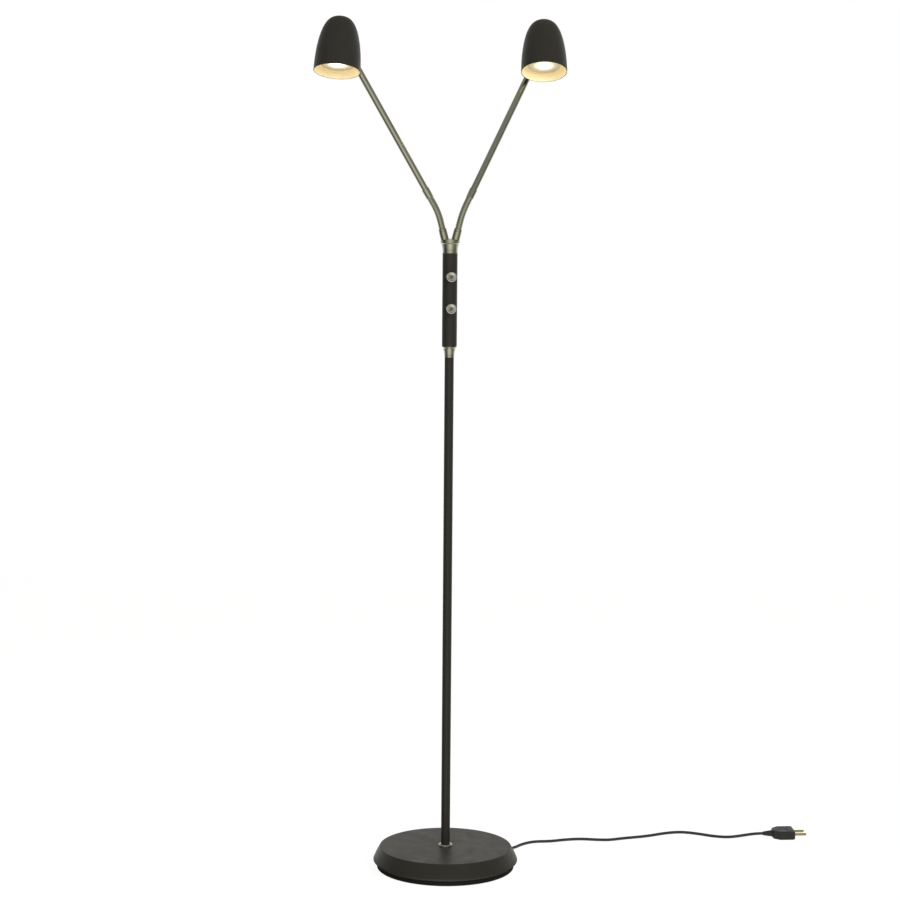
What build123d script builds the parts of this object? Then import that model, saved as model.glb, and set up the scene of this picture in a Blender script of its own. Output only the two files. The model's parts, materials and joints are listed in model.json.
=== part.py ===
from build123d import *
import os
from math import acos, cos, degrees, hypot, pi, radians, sin, sqrt, tan

# Floor lamp with two reading heads on goosenecks.
# Millimetres. Origin: middle of the base on the floor. X to the right, Y to the back, Z up.

# ---------------------------------------------------------------- fits
running_fit = 0.05      # between a turning piece and its bore, on the radius
slip_fit = 0.05         # between pieces pushed into each other, on the radius
side_play = 0.1         # between faces that turn against each other
screw_fit = 0.1         # round a screw in its through hole, on the radius

# ---------------------------------------------------------------- base
pad_inset = 2.0          # from the plate's edge in to the pad
pad_thickness = 2.0
plate_thickness = 1.2
plate_play = 0.3
ring_step = 1.9          # from the cover's lip in to the ring
ring_rim = 9.3           # from the ring's edge in to the plate
ring_ledge = 13.0        # how far the ring reaches in over the plate
ring_bottom = 0.8
ring_top = 9.4
cover_top_radius = 102.0
cover_radius = 112.5
cover_lip_tuck = 4.3     # from the cover's widest place in to its lip
cover_lip_z = 8.8
cover_widest_z = 12.6
cover_bulge = 0.7
cover_wall = 1.5
cover_top_round = 1.5
cover_edge_round = 2.2
base_height = 34.0
ballast_radius = 92.0
ballast_step_play = 0.5
ballast_groove_inner = 32.0
ballast_groove_outer = 80.0
ballast_groove_depth = 6.0
ballast_groove_draft = 1.0
ballast_pocket_radius = 28.0
ballast_web = 8.5
channel_width = 8.0
channel_height = 6.8
plate_screw_radius = 2.0
plate_screw_head = 3.8
plate_screw_length = 12.0
plate_screw_circle_radius = 60.0
plate_screw_count = 4
plate_screw_key = 1.4
plate_screw_key_depth = 1.2

# ---------------------------------------------------------------- pole
pole_radius = 7.0
pole_wall = 1.2
pole_plug_length = 24.0
joint_plug_length = 18.0
pole_seam_z = 416.0
cone_foot_z = 798.5
pole_in_sleeve = 20.0
nipple_radius = 5.0
nipple_bore = 3.5
nipple_below_web = 6.5
nipple_in_pole = 22.0
joiner_length = 30.0
flange_nut_across = 17.0
flange_nut_height = 4.5
flange_radius = 10.5
flange_thickness = 1.0
foot_collar_radius = 11.0
foot_collar_height = 3.5
foot_collar_band = 1.2   # straight part of its edge
foot_collar_top = 2.0    # width of its flat top
foot_collar_round_in = 0.6
foot_collar_round_down = 0.7

# ---------------------------------------------------------------- cone, sleeve and hub
cone_height = 16.6
cone_lip = 0.5
cone_edge_band = 1.0
cone_flare_out = 0.35    # where the flare's middle lies, as a share of its width
cone_flare_up = 0.42     # and of its height
cone_flare_end = 0.84    # where the flare ends, as a share of its height
cone_spigot_length = 12.0
sleeve_radius = 11.35
sleeve_wall = 1.5
sleeve_length = 141.6
sleeve_edge = 0.3
hub_spigot_length = 12.0
hub_neck_radius = 11.5
hub_rim_radius = 14.6
hub_rim_rise = 14.8      # from the sleeve to the underside of the rim
hub_height = 22.3        # from the sleeve to the ridge
hub_ridge_round = 5.0
hub_edge = 0.3
hub_waist_out = 0.3      # from the neck, half way up
hub_throat_out = 1.8     # from the neck, under the rim
hub_throat_drop = 1.6
hub_rim_in = 0.5
hub_rim_edge = 0.6
hub_cavity_radius = 8.0
hub_cavity_rise = 7.3    # from the sleeve to the top of the wiring space
hub_wire_bore = 2.8
socket_spread = 8.0
socket_splay = 14.0
socket_depth = 9.0

# ---------------------------------------------------------------- dimmers and knobs
knob_facing = 6.0        # degrees to the right of straight ahead
lower_knob_z = 874.4
knob_pitch = 48.0
knob_radius = 7.6
knob_length = 14.8
knob_clear = 0.85        # between the sleeve and the knob's back
knob_edge = 0.9
knob_dish_radius = 6.3
knob_dish_depth = 1.3
knob_back_radius = 6.2
knob_back_depth = 2.3
notch_length = 4.2
notch_width = 1.3
notch_depth = 1.6
shaft_radius = 3.0
shaft_start = 2.0
shaft_in_knob = 11.8
dimmer_width = 13.0
dimmer_height = 16.0
dimmer_back = 6.0
dimmer_front = 5.5
bushing_radius = 3.5
drill_overrun = 1.0      # how far a drilled hole runs on past the wall
bushing_end = 14.0
dimmer_nut_across = 10.0
dimmer_nut_height = 2.0

# ---------------------------------------------------------------- necks and arms
wire_bore = 3.2
ferrule_radius = 6.25
ferrule_length = 16.5
ferrule_groove = 0.5
ferrule_groove_end = 2.8    # from the ferrule's end
ferrule_groove_width = 1.2
ferrule_groove_slope = 0.4
ferrule_edge = 0.6
turned_edge = 0.4        # the small bevel on turned pieces
seat_radius = 5.0        # of the ferrule's foot, and of the arm tube
hose_radius = 5.2
hose_valley_depth = 0.6
hose_length = 50.0
hose_ribs = 20
rib_profile = [(0.0, 1.0), (0.16, 0.35), (0.5, 0.0), (0.84, 0.35)]  # share of the pitch, share of the valley
collar_foot_radius = 5.6
collar_top_radius = 5.9
collar_length = 16.0
collar_shoulder = 3.0
tube_wall = 1.0
arm_reach = 242.2        # from the gooseneck's end to the tilting pin
fork_radius = 6.5
fork_slot_floor = 8.0    # from the pin
fork_socket = 8.0
fork_web = 4.0          # between the slot and the socket
fork_cheek = 3.2
fork_wire_bore = 2.0
fork_edge = 0.8
knuckle_overlap = 0.5    # how far a fork or tongue runs into the round piece behind it
tongue_radius = 6.3
tongue_thickness = 5.0
tongue_neck = 9.0
tongue_flange_start = 7.6
tongue_flange_length = 5.0
tongue_bore_depth = 4.2
tongue_edge = 0.5
pin_radius = 2.0
pin_head_radius = 3.6
pin_head_height = 2.0
pin_head_edge = 0.6

# how each arm and shade is set, in degrees
arm_settings = {
    "left": dict(side=-1, lean=29.7, swing=0.0, tilt=19.9, roll=3.0, turn=68.52),
    "right": dict(side=1, lean=25.8, swing=21.64, tilt=26.7, roll=-0.46, turn=104.78),
}

# ---------------------------------------------------------------- shades and lamps
shade_radius = 34.8
shade_height = 84.5
shade_wall = 1.2
shade_rim_round = 0.4
side_power = 3.105       # how long the shade stays wide
crown_power = 1.915      # how round its crown is
shade_points = 9
stud_height = 40.0       # above the rim
stud_stand_off = 14.13   # from the tilting pin to the shade's outside
stud_radius = 3.2
stud_collar_radius = 5.6
stud_thread_radius = 4.5
stud_inside = 8.0
stud_nut_across = 14.0
stud_nut_height = 3.0
bracket_width = 12.0
bracket_thickness = 1.0
bracket_clear = 1.04
bracket_foot = 7.0        # below the stud
bracket_rise = 8.5       # from the stud to the first bend
bracket_knee = 21.0      # from the stud to the second bend
bracket_top_reach = 9.0
bracket_corner_x = 17.0
bracket_bend = 3.0
boss_radius = 6.0
lamp_face = 9.5          # from the rim up to the lamp's face ring
lamp_radius = 25.0
lamp_ring_height = 3.5
lamp_ring_edge = 0.4
lens_radius = 22.0
lens_thickness = 2.0
lens_recess = 0.9
lens_edge = 0.3
lamp_neck_radius = 15.0
lamp_neck_z = 50.0
lamp_neck_taper = 2.0
lamp_waist_radius = 21.6
lamp_waist_z = 33.0
lamp_base_radius = 11.5
lamp_base_top = 57.0
lamp_pin_spacing = 10.0
lamp_pin_radius = 1.5
lamp_pin_head = 2.4
lamp_pin_length = 7.0
lamp_pin_head_length = 2.0
holder_length = 26.0
holder_width = 18.0
holder_height = 15.8
holder_hole_radius = 2.8
holder_hole_depth = 8.0

# ---------------------------------------------------------------- mains cord
cord_radius = 2.3
lead_radius = 1.8        # of the inner lead, without its jacket
lead_bend = 11.5
exit_azimuth = 125.0
exit_z = 5.1
grip_in_ring = 8.3       # from the ring's edge in to the grip's end
grip_outer_radius = 130.0
grip_shank_radius = 3.25
grip_tail_radius = 3.5
grip_tip_radius = 2.8
cord_lead_points = [
    (-87.2, 124.5, 5.1),
    (-84.7, 147.9, 3.4),
    (-65.9, 162.0, 2.4),
    (-42.8, 157.9, 2.4),
    (-28.5, 141.5, 2.5),
    (-8.0, 115.15, 2.9),
]
cord_run_points = [
    (47.5, 119.8, 8.0),
    (61.5, 105.5, 5.5),
    (73.5, 92.0, 2.6),
    (92.0, 88.5, 2.4),
    (109.5, 98.8, 2.4),
    (121.5, 119.0, 2.4),
    (141.0, 136.0, 2.4),
    (168.0, 137.5, 2.4),
    (192.0, 148.0, 2.4),
    (218.0, 153.5, 2.4),
    (243.0, 149.0, 2.4),
    (264.0, 148.0, 2.4),
    (286.0, 158.5, 2.4),
    (327.0, 172.0, 2.4),
    (356.0, 190.5, 2.4),
    (383.0, 199.0, 2.4),
    (410.0, 189.0, 2.4),
    (436.0, 173.5, 2.4),
    (460.0, 168.5, 2.6),
    (484.0, 174.0, 4.8),
    (503.0, 176.5, 7.0),
]
coil_middle = (22.0, 148.7)
coil_pitch = 5.1
coil_outer = 33.55       # of the outermost turn, to its middle line
coil_turns_below = 4     # half turns on each side of the lower layer
coil_z = 2.9
coil_upper_start = -13.15
coil_upper_top = 22.3
coil_upper_bottom = -18.7
coil_upper_pairs = 3
tie_width = 8.0
tie_thickness = 0.5
tie_slack = 0.1
tie_inner_slack = 1.4
tie_offset = 3.0
tie_corner = 2.0
plug_rear = (515.0, 177.55, 7.0)
plug_azimuth = 5.0
plug_tail_length = 15.0
plug_tail_radius = 3.1
plug_length = 35.0
plug_width = 35.3
plug_height = 13.7
plug_round = 4.0
plug_edge = 1.2
plug_taper_share = 0.3   # of its length, over which it widens
plug_tail_overlap = 2.0
plug_pin_round = 1.2
plug_pin_radius = 2.0
plug_pin_length = 19.0
plug_pin_spacing = 19.0

os.makedirs("parts", exist_ok=True)


# ---------------------------------------------------------------- helpers
def side_plane(origin, along):
    """A plane through a line: its x runs out from the line and its y along it."""
    out = Plane(origin=origin, z_dir=along).x_dir
    return Plane(origin=origin, x_dir=out, z_dir=out.cross(Vector(along)))


def turn(outline, origin=(0, 0, 0), along=(0, 0, 1), mode=Mode.ADD):
    """Revolves an outline of (radius, height) points about the line through origin."""
    with BuildSketch(side_plane(origin, along)) as profile:
        with BuildLine():
            Polyline(*outline, close=True)
        make_face()
    revolve(profile.sketch, axis=Axis(origin, along), mode=mode)


def bore(origin, along, radius, length):
    """Drills from origin along a direction."""
    with Locations(Plane(origin=origin, z_dir=along)):
        Cylinder(radius, length, align=(Align.CENTER, Align.CENTER, Align.MIN), mode=Mode.SUBTRACT)


def rod(origin, along, radius, length):
    """Adds a round rod from origin along a direction."""
    with Locations(Plane(origin=origin, z_dir=along)):
        Cylinder(radius, length, align=(Align.CENTER, Align.CENTER, Align.MIN))


def hexagon(plane, across, height):
    """Adds a hexagonal prism that stands on a plane."""
    with BuildSketch(plane) as section:
        RegularPolygon(across / 2, 6, major_radius=False)
    extrude(section.sketch, amount=height)


# ---------------------------------------------------------------- base
cover_lip_radius = cover_radius - cover_lip_tuck
ring_radius = cover_lip_radius - ring_step
plate_radius = ring_radius - ring_rim
ring_inner_radius = plate_radius - ring_ledge
pad_radius = plate_radius - pad_inset
grip_inner_radius = ring_radius - grip_in_ring
plate_bottom = pad_thickness
plate_top = plate_bottom + plate_thickness
ballast_top = base_height - cover_wall
ballast_step_radius = ring_inner_radius - ballast_step_play
web_bottom = ballast_top - ballast_web
nipple_hole = nipple_radius + 3 * screw_fit
exit_direction = Vector(1, 0, 0).rotate(Axis.Z, exit_azimuth)
exit_plane = Plane(origin=(0, 0, exit_z), x_dir=exit_direction, z_dir=(0, 0, 1))
screw_plane = Plane(origin=(0, 0, plate_bottom), x_dir=(1, 0, 0), z_dir=(0, 0, -1))


def plate_screw_holes():
    """Countersunk holes for the plate screws, drilled upwards."""
    with Locations(screw_plane):
        with PolarLocations(plate_screw_circle_radius, plate_screw_count):
            CounterSinkHole(
                plate_screw_radius + screw_fit,
                plate_screw_head + screw_fit,
                plate_screw_length + screw_fit,
                counter_sink_angle=90,
            )


def cord_channel():
    """The slot under the ballast and through the ring that the lead lies in."""
    with BuildSketch(exit_plane.offset(plate_top - exit_z)) as slot:
        with Locations((grip_inner_radius / 2, 0)):
            Rectangle(grip_inner_radius, channel_width)
    extrude(slot.sketch, amount=channel_height, mode=Mode.SUBTRACT)


# the felt disc that the lamp stands on
with BuildPart() as floor_pad:
    with BuildSketch():
        Circle(pad_radius)
    extrude(amount=pad_thickness)
floor_pad.part.label = "floor_pad"
export_step(floor_pad.part, "parts/floor_pad.step")

# the sheet that closes the base from below
with BuildPart() as under_plate:
    with BuildSketch(Plane.XY.offset(plate_bottom)):
        Circle(plate_radius)
    extrude(amount=plate_thickness)
    plate_screw_holes()
under_plate.part.label = "under_plate"
export_step(under_plate.part, "parts/under_plate.step")

# the countersunk screws that hold the plate to the ballast
with BuildPart() as plate_screws:
    with PolarLocations(plate_screw_circle_radius, plate_screw_count):
        with Locations((0, 0, plate_bottom)):
            Cone(
                plate_screw_head,
                plate_screw_radius,
                plate_screw_head - plate_screw_radius,
                align=(Align.CENTER, Align.CENTER, Align.MIN),
            )
            Cylinder(
                plate_screw_radius,
                plate_screw_length,
                align=(Align.CENTER, Align.CENTER, Align.MIN),
            )
    with Locations(screw_plane):
        with PolarLocations(plate_screw_circle_radius, plate_screw_count):
            Hole(plate_screw_key, plate_screw_key_depth)
plate_screws.part.label = "plate_screws"
export_step(plate_screws.part, "parts/plate_screws.step")

# the soft ring round the pad, with a rebate for the plate and a way through for the cord
with BuildPart() as foot_ring:
    with BuildSketch(Plane.XY.offset(ring_bottom)):
        Circle(ring_radius)
        Circle(ring_inner_radius, mode=Mode.SUBTRACT)
    extrude(amount=ring_top - ring_bottom)
    with BuildSketch(Plane.XY):
        Circle(plate_radius + plate_play)
    extrude(amount=plate_top, mode=Mode.SUBTRACT)
    chamfer(foot_ring.edges().sort_by(Axis.Z)[0:2].sort_by(SortBy.RADIUS)[-1], ring_bottom)
    cord_channel()
    bore((0, 0, exit_z), exit_direction, grip_shank_radius + slip_fit, ring_radius + cover_wall)
foot_ring.part.label = "foot_ring"
export_step(foot_ring.part, "parts/foot_ring.step")

# the cast iron weight
with BuildPart() as ballast:
    turn(
        [
            (0, plate_top),
            (ballast_step_radius, plate_top),
            (ballast_step_radius, ring_top),
            (ballast_radius, ring_top),
            (ballast_radius, ballast_top),
            (ballast_groove_outer, ballast_top),
            (ballast_groove_outer - ballast_groove_draft, ballast_top - ballast_groove_depth),
            (ballast_groove_inner + ballast_groove_draft, ballast_top - ballast_groove_depth),
            (ballast_groove_inner, ballast_top),
            (0, ballast_top),
        ]
    )
    chamfer(ballast.edges().group_by(Axis.Z)[-1].sort_by(SortBy.RADIUS)[-1], cover_wall)
    with BuildSketch(Plane.XY.offset(plate_top)):
        Circle(ballast_pocket_radius)
    extrude(amount=web_bottom - plate_top, mode=Mode.SUBTRACT)
    bore((0, 0, web_bottom), (0, 0, 1), nipple_hole, ballast_web)
    plate_screw_holes()
    cord_channel()
ballast.part.label = "ballast"
export_step(ballast.part, "parts/ballast.step")

# the spun cover: flat top, sloping side and a tucked-in lip
side_angle = degrees(acos((base_height - cover_widest_z) / hypot(
    base_height - cover_widest_z, cover_radius - cover_top_radius)))
side_inset = cover_wall / cos(radians(side_angle))
inner_top_radius = cover_radius - side_inset - (ballast_top - cover_widest_z) * tan(radians(side_angle))


def bulged(low, high):
    """The middle of a line, moved out by the bulge of the base's side."""
    return ((low[0] + high[0]) / 2 + cover_bulge, (low[1] + high[1]) / 2)


with BuildPart() as base_cover:
    with BuildSketch(Plane.XZ):
        with BuildLine():
            outside = FilletPolyline(
                (nipple_hole, base_height),
                (cover_top_radius, base_height),
                bulged((cover_radius, cover_widest_z), (cover_top_radius, base_height)),
                (cover_radius, cover_widest_z),
                (cover_lip_radius, cover_lip_z),
                radius=[cover_top_round, cover_radius, cover_edge_round],
            )
            Polyline(
                outside @ 1,
                (cover_lip_radius - cover_wall, cover_lip_z),
                (cover_radius - side_inset, cover_widest_z),
                bulged((cover_radius - side_inset, cover_widest_z), (inner_top_radius, ballast_top)),
                (inner_top_radius, ballast_top),
                (nipple_hole, ballast_top),
                outside @ 0,
            )
        make_face()
    revolve(axis=Axis.Z)
base_cover.part.label = "base_cover"
export_step(base_cover.part, "parts/base_cover.step")

# the threaded tube that ties the pole to the weight
nipple_bottom = web_bottom - nipple_below_web
with BuildPart() as pole_nipple:
    rod((0, 0, nipple_bottom), (0, 0, 1), nipple_radius, base_height + nipple_in_pole - nipple_bottom)
    bore((0, 0, nipple_bottom), (0, 0, 1), nipple_bore, base_height + nipple_in_pole)
pole_nipple.part.label = "pole_nipple"
export_step(pole_nipple.part, "parts/pole_nipple.step")

# its flanged nut, under the weight's web
with BuildPart() as flange_nut:
    nut_bottom = web_bottom - flange_thickness - flange_nut_height
    hexagon(Plane.XY.offset(nut_bottom), flange_nut_across, flange_nut_height)
    rod((0, 0, web_bottom - flange_thickness), (0, 0, 1), flange_radius, flange_thickness)
    bore((0, 0, nipple_bottom), (0, 0, 1), nipple_radius + slip_fit, ballast_top)
flange_nut.part.label = "flange_nut"
export_step(flange_nut.part, "parts/flange_nut.step")

# the plated collar round the foot of the pole
with BuildPart() as foot_collar:
    with BuildSketch(Plane.XZ):
        with BuildLine():
            collar_foot = Line((pole_radius + slip_fit, base_height), (foot_collar_radius, base_height))
            collar_edge = Line(collar_foot @ 1, (foot_collar_radius, base_height + foot_collar_band))
            collar_top = Line(
                (pole_radius + slip_fit, base_height + foot_collar_height),
                (pole_radius + foot_collar_top, base_height + foot_collar_height),
            )
            ThreePointArc(
                collar_edge @ 1,
                (
                    foot_collar_radius - foot_collar_round_in,
                    base_height + foot_collar_height - foot_collar_round_down,
                ),
                collar_top @ 1,
            )
            Line(collar_top @ 0, collar_foot @ 0)
        make_face()
    revolve(axis=Axis.Z)
foot_collar.part.label = "foot_collar"
export_step(foot_collar.part, "parts/foot_collar.step")

# ---------------------------------------------------------------- pole
sleeve_bottom = cone_foot_z + cone_height
sleeve_top = sleeve_bottom + sleeve_length
sleeve_bore = sleeve_radius - sleeve_wall
pole_top = sleeve_bottom + pole_in_sleeve


def pole_tube(bottom, top, foot_plug, head_plug):
    """A round tube whose plugged ends take a threaded tube."""
    hollow = top - head_plug - bottom - foot_plug
    rod((0, 0, bottom), (0, 0, 1), pole_radius, top - bottom)
    bore((0, 0, bottom), (0, 0, 1), nipple_radius + slip_fit, foot_plug)
    bore((0, 0, bottom + foot_plug), (0, 0, 1), pole_radius - pole_wall, hollow)
    bore((0, 0, top - head_plug), (0, 0, 1), nipple_radius + slip_fit, head_plug)


with BuildPart() as lower_pole:
    pole_tube(base_height, pole_seam_z, pole_plug_length, joint_plug_length)
lower_pole.part.label = "lower_pole"
export_step(lower_pole.part, "parts/lower_pole.step")

with BuildPart() as upper_pole:
    pole_tube(pole_seam_z, pole_top, joint_plug_length, joint_plug_length)
upper_pole.part.label = "upper_pole"
export_step(upper_pole.part, "parts/upper_pole.step")

# the threaded tube inside the seam
with BuildPart() as pole_joiner:
    rod((0, 0, pole_seam_z - joiner_length / 2), (0, 0, 1), nipple_radius, joiner_length)
    bore((0, 0, pole_seam_z - joiner_length / 2), (0, 0, 1), nipple_bore, joiner_length)
pole_joiner.part.label = "pole_joiner"
export_step(pole_joiner.part, "parts/pole_joiner.step")

# ---------------------------------------------------------------- cone and sleeve
# the flared cone between pole and sleeve, with a spigot inside the sleeve
cone_bore = pole_radius + slip_fit
cone_spigot_radius = sleeve_bore - slip_fit
with BuildPart() as reducer_cone:
    with BuildSketch(Plane.XZ):
        with BuildLine():
            flare = Spline(
                (cone_bore + cone_lip, cone_foot_z),
                (
                    cone_bore + cone_flare_out * (cone_spigot_radius - cone_bore),
                    cone_foot_z + cone_flare_up * cone_height,
                ),
                (cone_spigot_radius, cone_foot_z + cone_flare_end * cone_height),
                tangents=[(0, 1), (0.25, 1)],
            )
            Polyline(
                flare @ 1,
                (sleeve_radius - sleeve_edge, sleeve_bottom - cone_edge_band),
                (sleeve_radius - sleeve_edge, sleeve_bottom),
                (cone_spigot_radius, sleeve_bottom),
                (cone_spigot_radius, sleeve_bottom + cone_spigot_length),
                (cone_bore, sleeve_bottom + cone_spigot_length),
                (cone_bore, cone_foot_z),
                flare @ 0,
            )
        make_face()
    revolve(axis=Axis.Z)
reducer_cone.part.label = "reducer_cone"
export_step(reducer_cone.part, "parts/reducer_cone.step")

knob_direction = Vector(0, -1, 0).rotate(Axis.Z, knob_facing)
knob_sideways = Vector(1, 0, 0).rotate(Axis.Z, knob_facing)
knob_heights = {"lower": lower_knob_z, "upper": lower_knob_z + knob_pitch}


def knob_plane(height, out=0.0):
    """The plane of a knob: z along its shaft, x to the right."""
    origin = Vector(0, 0, height) + knob_direction * out
    return Plane(origin=origin, x_dir=knob_sideways, z_dir=knob_direction)


# the grip tube that holds both dimmers
with BuildPart() as grip_sleeve:
    rod((0, 0, sleeve_bottom), (0, 0, 1), sleeve_radius, sleeve_length)
    bore((0, 0, sleeve_bottom), (0, 0, 1), sleeve_bore, sleeve_length)
    chamfer(grip_sleeve.edges().filter_by(GeomType.CIRCLE).group_by(SortBy.RADIUS)[-1], sleeve_edge)
    for height in knob_heights.values():
        bore((0, 0, height), knob_direction, bushing_radius + screw_fit, sleeve_radius + drill_overrun)
grip_sleeve.part.label = "grip_sleeve"
export_step(grip_sleeve.part, "parts/grip_sleeve.step")

# ---------------------------------------------------------------- dimmers, nuts, shafts and knobs
knob_start = sleeve_radius + knob_clear
knob_end = knob_start + knob_length
nut_start = sleeve_radius + slip_fit

with BuildPart() as dimmers:
    for height in knob_heights.values():
        with BuildSketch(knob_plane(height, -dimmer_back)):
            Rectangle(dimmer_width, dimmer_height)
        extrude(amount=dimmer_back + dimmer_front)
        with BuildSketch(knob_plane(height, dimmer_front)):
            Circle(bushing_radius)
        extrude(amount=bushing_end - dimmer_front)
        with BuildSketch(knob_plane(height, shaft_start - side_play)):
            Circle(shaft_radius + running_fit)
        extrude(amount=bushing_end, mode=Mode.SUBTRACT)
dimmers.part.label = "dimmers"
export_step(dimmers.part, "parts/dimmers.step")

with BuildPart() as dimmer_nuts:
    for height in knob_heights.values():
        with BuildSketch(knob_plane(height, nut_start)):
            RegularPolygon(dimmer_nut_across / 2, 6, major_radius=False)
            Circle(bushing_radius + slip_fit, mode=Mode.SUBTRACT)
        extrude(amount=dimmer_nut_height)
dimmer_nuts.part.label = "dimmer_nuts"
export_step(dimmer_nuts.part, "parts/dimmer_nuts.step")

for name, height in knob_heights.items():
    with BuildPart() as shaft:
        with BuildSketch(knob_plane(height, shaft_start)):
            Circle(shaft_radius)
        extrude(amount=knob_start + shaft_in_knob - shaft_start)
    shaft.part.label = f"{name}_shaft"
    export_step(shaft.part, f"parts/{name}_shaft.step")

    # a turned knob with a dished face, a pointer notch and a hollow back
    with BuildPart() as knob:
        with BuildSketch(knob_plane(height, knob_start)):
            Circle(knob_radius)
        extrude(amount=knob_length)
        fillet(knob.edges().sort_by(Axis((0, 0, 0), knob_direction))[-1], knob_edge)
        dish_sphere = (knob_dish_radius**2 + knob_dish_depth**2) / (2 * knob_dish_depth)
        with Locations(knob_plane(height, knob_end + dish_sphere - knob_dish_depth)):
            Sphere(dish_sphere, mode=Mode.SUBTRACT)
        with BuildSketch(knob_plane(height, knob_start)):
            Circle(knob_back_radius)
        extrude(amount=knob_back_depth, mode=Mode.SUBTRACT)
        with BuildSketch(knob_plane(height, knob_start)):
            Circle(shaft_radius + slip_fit)
        extrude(amount=shaft_in_knob + slip_fit, mode=Mode.SUBTRACT)
        with BuildSketch(knob_plane(height, knob_end - notch_depth)):
            with Locations((notch_length / 2 - knob_dish_radius, 0)):
                SlotOverall(notch_length, notch_width)
        extrude(amount=knob_edge + notch_depth, mode=Mode.SUBTRACT)
    knob.part.label = f"{name}_knob"
    export_step(knob.part, f"parts/{name}_knob.step")

# ---------------------------------------------------------------- hub
ridge_z = sleeve_top + hub_height
roof_drop = tan(radians(socket_splay))
hub_rim_z = sleeve_top + hub_rim_rise


def socket_mouth(side):
    """Where a ferrule enters the hub's roof, and its direction."""
    origin = Vector(side * socket_spread, 0, ridge_z - socket_spread * roof_drop)
    up = Vector(side * sin(radians(socket_splay)), 0, cos(radians(socket_splay)))
    return origin, up


with BuildPart() as hub:
    with BuildSketch(Plane.XZ):
        with BuildLine():
            waist = Spline(
                (hub_neck_radius, sleeve_top + hub_edge),
                (hub_neck_radius + hub_waist_out, sleeve_top + hub_rim_rise / 2),
                (hub_neck_radius + hub_throat_out, hub_rim_z - hub_throat_drop),
                (hub_rim_radius - hub_rim_in, hub_rim_z),
                tangents=[(0, 1), (1, 0.6)],
            )
            Polyline(
                waist @ 1,
                (hub_rim_radius, hub_rim_z + hub_rim_edge),
                (hub_rim_radius, ridge_z),
                (0, ridge_z),
                (0, sleeve_top - hub_spigot_length),
                (cone_spigot_radius, sleeve_top - hub_spigot_length),
                (cone_spigot_radius, sleeve_top),
                (hub_neck_radius - hub_edge, sleeve_top),
                waist @ 0,
            )
        make_face()
    revolve(axis=Axis.Z)
    # the gabled roof, square to both sockets
    with BuildSketch(Plane.XZ):
        with BuildLine():
            Polyline(
                (-2 * hub_rim_radius, ridge_z - 2 * hub_rim_radius * roof_drop),
                (0, ridge_z),
                (2 * hub_rim_radius, ridge_z - 2 * hub_rim_radius * roof_drop),
                (2 * hub_rim_radius, ridge_z + hub_height),
                (-2 * hub_rim_radius, ridge_z + hub_height),
                close=True,
            )
        make_face()
    extrude(amount=2 * hub_rim_radius, both=True, mode=Mode.SUBTRACT)
    fillet(hub.edges().filter_by(Axis.Y).sort_by(Axis.Z)[-1], hub_ridge_round)
    bore(
        (0, 0, sleeve_top - hub_spigot_length),
        (0, 0, 1),
        hub_cavity_radius,
        hub_spigot_length + hub_cavity_rise,
    )
    for side in (-1, 1):
        mouth, up = socket_mouth(side)
        bore(mouth, -up, seat_radius + slip_fit, socket_depth)
        bore(mouth, -up, hub_wire_bore, hub_height - hub_cavity_rise)
hub.part.label = "hub"
export_step(hub.part, "parts/hub.step")


# ---------------------------------------------------------------- shade outline
def shade_radius_at(height, radius, top):
    """Radius of the shade's round outline at a height above its rim."""
    return radius * (1 - (height / top) ** crown_power) ** (1 / side_power)


def shade_outline(radius, top):
    """The points of the outline from rim to crown, closer together where it curves."""
    angles = [pi / 2 * step / (shade_points - 1) for step in range(shade_points - 1)]
    points = [(radius * cos(t) ** (2 / side_power), top * sin(t) ** (2 / crown_power)) for t in angles]
    return [*points, (0, top)]


inner_radius = shade_radius - shade_wall
inner_height = shade_height - shade_wall
stud_wall_radius = shade_radius_at(stud_height, shade_radius, shade_height)
knuckle_to_axis = stud_wall_radius + stud_stand_off


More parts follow.
